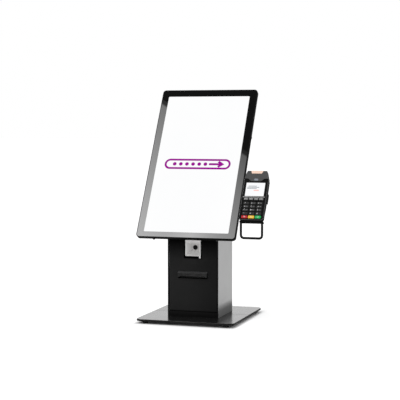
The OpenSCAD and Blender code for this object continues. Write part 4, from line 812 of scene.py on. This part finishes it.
def placing_tree(name):
    """Geometry nodes that put a copy of the template on each spot."""
    tree = bpy.data.node_groups.new(name, "GeometryNodeTree")
    new_socket = tree.interface.new_socket
    new_socket("Spots", in_out="INPUT", socket_type="NodeSocketGeometry")
    template_input = new_socket("Template", in_out="INPUT", socket_type="NodeSocketObject")
    new_socket("Copies", in_out="OUTPUT", socket_type="NodeSocketGeometry")
    src, out = add(tree, "NodeGroupInput"), add(tree, "NodeGroupOutput")
    template = add(tree, "GeometryNodeObjectInfo")
    facing = add(tree, "GeometryNodeInputNamedAttribute", data_type="FLOAT_VECTOR")
    facing.inputs["Name"].default_value = "facing"
    align = add(tree, "FunctionNodeAlignRotationToVector", axis="Z")
    copies = add(tree, "GeometryNodeInstanceOnPoints")
    real = add(tree, "GeometryNodeRealizeInstances")
    link = tree.links.new
    link(src.outputs["Template"], template.inputs["Object"])
    link(facing.outputs["Attribute"], align.inputs["Vector"])
    link(src.outputs["Spots"], copies.inputs["Points"])
    link(template.outputs["Geometry"], copies.inputs["Instance"])
    link(align.outputs["Rotation"], copies.inputs["Rotation"])
    link(copies.outputs["Instances"], real.inputs["Geometry"])
    link(real.outputs["Geometry"], out.inputs["Copies"])
    return tree, template_input.identifier


PLACING, TEMPLATE_INPUT = placing_tree("place_copies")


def place_copies(name, template_mesh, spots, node):
    """Replaces a CAD node by copies of the template on the spots (place, direction)."""
    template = add_object(name + "_template", template_mesh)
    carrier = add_object(name + "_spots", spot_mesh(name + "_spots", spots))
    modifier = carrier.modifiers.new("copies", "NODES")
    modifier.node_group = PLACING
    modifier[TEMPLATE_INPUT] = template
    mesh = evaluated_mesh(carrier)
    bpy.data.objects.remove(template)
    mesh.name = name
    mesh.materials.clear()
    make_piece(name, mesh, node, [FINISH[SLOT_OF[node]]], [node])


def screw_template():
    """A pan head screw with a cross recess; its head stands on Z = 0."""
    head_r, head_h, shank_r, length, steps = 4.5 * MM, 3 * MM, 2.5 * MM, 5.5 * MM, 24
    profile = [(shank_r - 0.3 * MM, -length), (shank_r, -length + 0.4 * MM), (shank_r, 0),
               (head_r, 0), (head_r, head_h * 0.45), (head_r * 0.93, head_h * 0.72),
               (head_r * 0.72, head_h * 0.93), (head_r * 0.45, head_h)]
    rings = [at_height(circle(r, steps), z) for r, z in profile]
    arm, half_w, depth, taper = head_r * 0.4, head_r * 0.1, head_h * 0.55, 0.55
    hub, arm_spread, tiny = half_w * 1.35, 0.3, 1e-6
    cross = []
    for c, s in circle(1.0, steps):
        across = min(abs(s), abs(c))
        reach = min(arm, half_w / max(across, tiny)) if across < arm_spread else hub
        cross.append((reach * c, reach * s))
    rings.append(at_height(cross, head_h))
    rings.append([(x * taper, y * taper, head_h - depth) for x, y in cross])
    bm = bmesh.new()
    loft(bm, rings)
    return shaded("screw_template_mesh", bm, 30)


def build_screws():
    """Screws of the pedestal's flanges, the bracket's foot, the bracket's plate and the arm."""
    back = tuple(HEAD.to_3x3() @ Vector(DOWN))
    flange_x, flange_y = 72 * MM, 42 * MM
    foot_x, foot_y, foot_middle, foot_top = 30 * MM, 43.5 * MM, 3 * MM, 304 * MM
    plate_half, plate_middle, plate_back = 37.5 * MM, -114.94 * MM, -49 * MM
    arm_x, arm_half, arm_back = 144 * MM, 9 * MM, -19 * MM
    corners = [(x, y) for x in SIDES for y in SIDES]
    spots = [((x * flange_x, y * flange_y, DECK_TOP), UP) for x, y in corners]
    spots += [((x * foot_x, foot_middle + y * foot_y, foot_top), UP) for x, y in corners]
    behind = [(x * plate_half, plate_middle + y * plate_half, plate_back) for x, y in corners]
    behind += [(arm_x, TERMINAL_Y + y * arm_half, arm_back) for y in SIDES]
    spots += [(tuple(HEAD @ Vector(spot)), back) for spot in behind]
    place_copies("machine_screw_set", screw_template(), spots, "machine_screws")


def build_feet():
    foot_x, foot_y, steps = 129 * MM, 150 * MM, 32
    profile = in_mm([(3.0, 0.0), (7.4, 0.0), (8.2, 0.4), (8.5, 1.2), (8.5, 6.6), (8.2, 7.6),
                     (7.8, 8.0), (3.0, 8.0), (3.0, 0.0)])
    bm = bmesh.new()
    loft(bm, [at_height(circle(r, steps), z) for r, z in profile], closed=False)
    bmesh.ops.remove_doubles(bm, verts=bm.verts, dist=MERGE)
    spots = [((x * foot_x, y * foot_y, 0), UP) for x in SIDES for y in SIDES]
    place_copies("rubber_foot_set", shaded("foot_template_mesh", bm), spots, "base_feet")


# Sheet metal and mouldings, from the solids with eased edges

# Limits on the parts of a face's normal, by which faces are told apart
UPRIGHT, FACING, SLOPING, AHEAD, RIM_LEAN = 0.5, 0.6, 0.3, 0.02, (0.1, 0.99)
# How close counts as the same place, and how far down the terminal's rim reaches
SLACK, RIM_DEPTH, EDGE_DEPTH = 0.2 * MM, 1.2 * MM, 2 * MM


def near(value, target):
    return abs(value - target) < SLACK


def is_level(edge):
    return near(edge.verts[0].co.z, edge.verts[1].co.z)


def is_deck_edge(point, edge):
    return near(point.z, DECK_TOP) and is_level(edge)


def is_pedestal_corner(point, edge):
    at_corner = near(abs(point.x), PEDESTAL_HALF_W) and near(abs(point.y), PEDESTAL_HALF_D)
    return at_corner and not is_level(edge)


def is_rear_cover_back(point, edge):
    return near((HEAD.inverted() @ point).z, REAR_COVER_BACK)


def on_terminal_outline(spot):
    """Whether a point in the terminal's frame lies along the outer edge of its top."""
    return abs(spot.x) > TERMINAL_SIDE or spot.y < TERMINAL_LOW or spot.y > TERMINAL_HIGH


def is_terminal_face_edge(point, edge):
    spot = TERMINAL.inverted() @ point
    return on_terminal_outline(spot) and near(spot.z, TERMINAL_FACE)


def is_terminal_inner_edge(point, edge):
    spot = TERMINAL.inverted() @ point
    return not (on_terminal_outline(spot) and spot.z > TERMINAL_FACE - EDGE_DEPTH)


def is_terminal_ledge(face):
    return (TERMINAL.inverted() @ face.calc_center_median()).z > TERMINAL_FACE + SLACK


def is_terminal_rim(face):
    """The rounded faces along the outer edge of the terminal's top."""
    spot = TERMINAL.inverted() @ face.calc_center_median()
    lean = face.normal.dot(TERMINAL.to_3x3() @ Vector(UP))
    is_round = RIM_LEAN[0] < lean < RIM_LEAN[1]
    return is_round and on_terminal_outline(spot) and spot.z > TERMINAL_FACE - RIM_DEPTH


def is_upright(face):
    return abs(face.normal.z) < UPRIGHT


def faces_front(face):
    return face.normal.y < -FACING


def is_sill_top(face):
    return face.normal.z > FACING and face.calc_center_median().z < SILL_LIMIT


def is_behind_door(face):
    return faces_front(face) and face.calc_center_median().y > DOOR_BACK


def slopes_up(face):
    return face.normal.z > SLOPING


def slopes_down(face):
    return face.normal.z < -SLOPING


def is_funnel_floor(face):
    return slopes_up(face) and face.normal.y < -AHEAD


def dress_plainly(*plans):
    """Eases all the edges of each node, by the width in mm and with the steps given."""
    for node, width, steps in plans:
        dress(node, (ALL_EDGES, width, steps))


def build_sheet_metal():
    rim, front = (BASE_EDGE, is_upright), (SHELL_FRONT, faces_front)
    corner = (is_pedestal_corner, 1.4, 4)
    dress("base_plate", (ALL_EDGES, 0.4, 2), others=[rim])
    for node in ("front_deck", "rear_deck"):
        dress(node, (is_deck_edge, 0.7, 4), others=[rim])
    # Painted shade on the sill's top in the door's gap and on the tab behind the door
    dress("pedestal_shell", corner, others=[front, (PAINTED_DEEP_SHADE, is_sill_top)])
    dress("pedestal_top", corner, others=[front, (PAINTED_DEEP_SHADE, is_behind_door)])
    dress_plainly(("front_door", 0.25, 2), ("head_bracket", 0.4, 2), ("terminal_arm", 0.4, 2),
                  ("display_chassis", 0.2, 2), ("printer_shelf", 0.2, 2))


def build_mouldings():
    # The funnel's lower wall gets the painted-light copy of the silver
    dress("scanner_hood", (ALL_EDGES, 0.25, 3), others=[(FUNNEL_PAINTED_LIGHT, is_funnel_floor)])
    dress_plainly(("scanner_window", 0.2, 2), ("scanner_engine", 0.8, 3))
    # The bezel's upper slope has a painted highlight and its underside painted shade
    dress("printer_bezel", (ALL_EDGES, 0.12, 2),
          others=[(BEZEL_PAINTED_HIGHLIGHT, slopes_up), (PAINTED_DEEP_SHADE, slopes_down)])
    dress_plainly(("printer_frame", 0.3, 2), ("printer_cover", 0.3, 2), ("print_head", 0.4, 2),
                  ("power_supply", 2, 4), ("power_inlet", 0.3, 2))
    dress("rear_cover", (is_rear_cover_back, 0.6, 3))
    dress_plainly(("display_frame", 0.3, 2), ("terminal_cradle", 0.4, 2),
                  ("terminal_base", 0.5, 2))
    # The ledge has a painted highlight, and the rim a painted highlight with a real gloss
    dress("terminal_top", (is_terminal_face_edge, 0.9, 3), (is_terminal_inner_edge, 0.25, 2),
          others=[(LEDGE_PAINTED_HIGHLIGHT, is_terminal_ledge), (TERMINAL_RIM_GLOSS_AND_HIGHLIGHT, is_terminal_rim)])
    dress_plainly(("terminal_hood", 0.8, 4), ("contactless_patch", 0.12, 2),
                  ("power_button", 0.4, 3), ("menu_button", 0.4, 3), ("side_button", 0.4, 3))


def paint_plain_nodes():
    """Solids that already have their final shape only get their finish."""
    for name, node in NODES.items():
        if node.hide_render:
            continue
        node.data.materials.clear()
        node.data.materials.append(DARK_STEEL if name == "hinge_pins" else FINISH[SLOT_OF[name]])


# Stage: camera, floor, light

def build_camera():
    """The photograph's view, fitted from the corners of the display, base and pedestal."""
    place, target = Vector((1.12662, -3.5425, 0.60805)), Vector((-0.00135, 0, 0.36972))
    camera = bpy.data.cameras.new("camera")
    camera.sensor_width = 36
    camera.lens = 107.29
    camera.clip_end = 100
    obj = add_object("camera", camera)
    obj.location = place
    obj.rotation_euler = (target - place).to_track_quat("-Z", "Y").to_euler()
    bpy.context.scene.camera = obj


def seen_rays(tree, path):
    """1 for rays from the camera, off a mirror or through glass."""
    seen = math_node(tree, "MAXIMUM", path["Is Camera Ray"], path["Is Glossy Ray"])
    return math_node(tree, "MAXIMUM", seen, path["Is Transmission Ray"])


def beyond(tree, along, half_size):
    """Distance of a place outside the base along one axis."""
    return math_node(tree, "SUBTRACT", math_node(tree, "ABSOLUTE", along), half_size)


def build_floor():
    """A pale floor with painted light: it glows white for camera, mirror and glass rays, more the
    farther it lies outside the base.
    """
    reach = 40
    mesh = bpy.data.meshes.new("floor")
    corners = [(-reach, -reach, 0), (reach, -reach, 0), (reach, reach, 0), (-reach, reach, 0)]
    mesh.from_pydata(corners, [], [(0, 1, 2, 3)])
    floor = add_object("floor", mesh)
    material, tree, bsdf = new_material("pale_floor")
    seen = seen_rays(tree, add(tree, "ShaderNodeLightPath").outputs)
    place = split(tree, object_place(tree))
    beside = beyond(tree, place["X"], BASE_HALF_W)
    before = beyond(tree, place["Y"], BASE_HALF_D)
    close, far = 0.01, 0.06
    full_lift, close_lift, far_lift = 0.4, 0.27, 0.13
    lift_beside = remap(tree, beside, 0.0, close, 0.0, full_lift)
    lift_before = math_node(tree, "ADD", remap(tree, before, 0.0, close, 0.0, close_lift),
                            remap(tree, before, close, far, 0.0, far_lift))
    # Painted light: the floor's glow grows with the distance outside the base, faster beside it
    clear = math_node(tree, "MAXIMUM", lift_beside, lift_before)
    feed_all(tree, bsdf, Base_Color=grey(0.92), Roughness=0.9, Specular_IOR_Level=0.1,
             Emission_Color=WHITE, Emission_Strength=math_node(tree, "MULTIPLY", seen, clear))
    mesh.materials.append(material)


def build_world():
    """Plain fill light; the backdrop is white round the horizon, and dark overhead for mirrors."""
    fill_level, dim_from, dim_to, dim_level = 0.8, 0.35, 0.6, 0.1
    world = bpy.data.worlds.new("studio")
    bpy.context.scene.world = world
    world.use_nodes = True
    tree = world.node_tree
    tree.nodes.clear()
    out = add(tree, "ShaderNodeOutputWorld")
    path = add(tree, "ShaderNodeLightPath").outputs
    direction = split(tree, add(tree, "ShaderNodeTexCoord").outputs["Generated"])
    overhead = remap(tree, direction["Z"], dim_from, dim_to, 1.0, dim_level)
    level = math_node(tree, "MAXIMUM", overhead, path["Is Camera Ray"])
    fill, backdrop = add(tree, "ShaderNodeBackground"), add(tree, "ShaderNodeBackground")
    feed_all(tree, fill, Color=WHITE, Strength=fill_level)
    feed_all(tree, backdrop, Color=WHITE, Strength=level)
    mix = add(tree, "ShaderNodeMixShader")
    tree.links.new(seen_rays(tree, path), mix.inputs[0])
    tree.links.new(fill.outputs[0], mix.inputs[1])
    tree.links.new(backdrop.outputs[0], mix.inputs[2])
    tree.links.new(mix.outputs[0], out.inputs["Surface"])


def card_strength(tree):
    """Light over the card: dimmer at the right and top, with a bright patch low at the left."""
    left_gain, low_gain, least = 0.36, 1.07, 0.16
    patch_middle, patch_half, patch_gain, patch_from, patch_to = 0.22, 0.13, 0.32, 0.4, 0.6
    edge_from, edge_to, edge_level = 0.02, 0.032, 0.13
    spot = split(tree, add(tree, "ShaderNodeNewGeometry").outputs["Parametric"])
    left, low = spot["X"], spot["Y"]
    slope = math_node(tree, "ADD", math_node(tree, "MULTIPLY", left, left_gain),
                      math_node(tree, "MULTIPLY", low, low_gain))
    off_middle = math_node(tree, "ABSOLUTE", math_node(tree, "SUBTRACT", left, patch_middle))
    patch = math_node(tree, "MULTIPLY", remap(tree, off_middle, 0.0, patch_half, patch_gain, 0.0),
                      remap(tree, low, patch_from, patch_to, 0.0, 1.0))
    level = math_node(tree, "ADD", math_node(tree, "ADD", slope, patch), least)
    return math_node(tree, "MULTIPLY", level,
                     remap(tree, low, edge_from, edge_to, edge_level, 1.0))


def build_card():
    """A soft card above the front left, whose upper edge shows in the glass."""
    width, height, radiance = 1.02, 0.9, 8.4
    distance, edge_right, edge_rise, edge_tilt = 3.0, 0.09, 0.206, math.radians(5.3)
    light = bpy.data.lights.new("soft_card", "AREA")
    light.shape = "RECTANGLE"
    light.size, light.size_y = width, height
    light.energy = radiance * math.pi * width * height
    light.use_nodes = True
    tree = light.node_tree
    tree.links.new(card_strength(tree), tree.nodes["Emission"].inputs["Strength"])
    towards = Vector((-0.3032, -0.5062, 0.8074))
    side = Vector(UP).cross(-towards).normalized()
    rise = (-towards).cross(side)
    along = side * math.cos(edge_tilt) + rise * math.sin(edge_tilt)
    down = towards.cross(along)
    edge_middle = GLASS_CENTRE + towards * distance + side * edge_right + rise * edge_rise
    card = add_object("soft_card", light)
    card.matrix_world = Matrix((along, down, towards)).transposed().to_4x4()
    card.location = edge_middle + down * (height / 2)


build_camera()
build_floor()
build_world()
build_card()
build_touch_glass()
build_screen_motif()
build_number_keys()
build_function_keys()
build_hood_light()
build_terminal_screen()
build_screws()
build_feet()
build_sheet_metal()
build_mouldings()
paint_plain_nodes()

bpy.context.scene.view_settings.view_transform = "Standard"
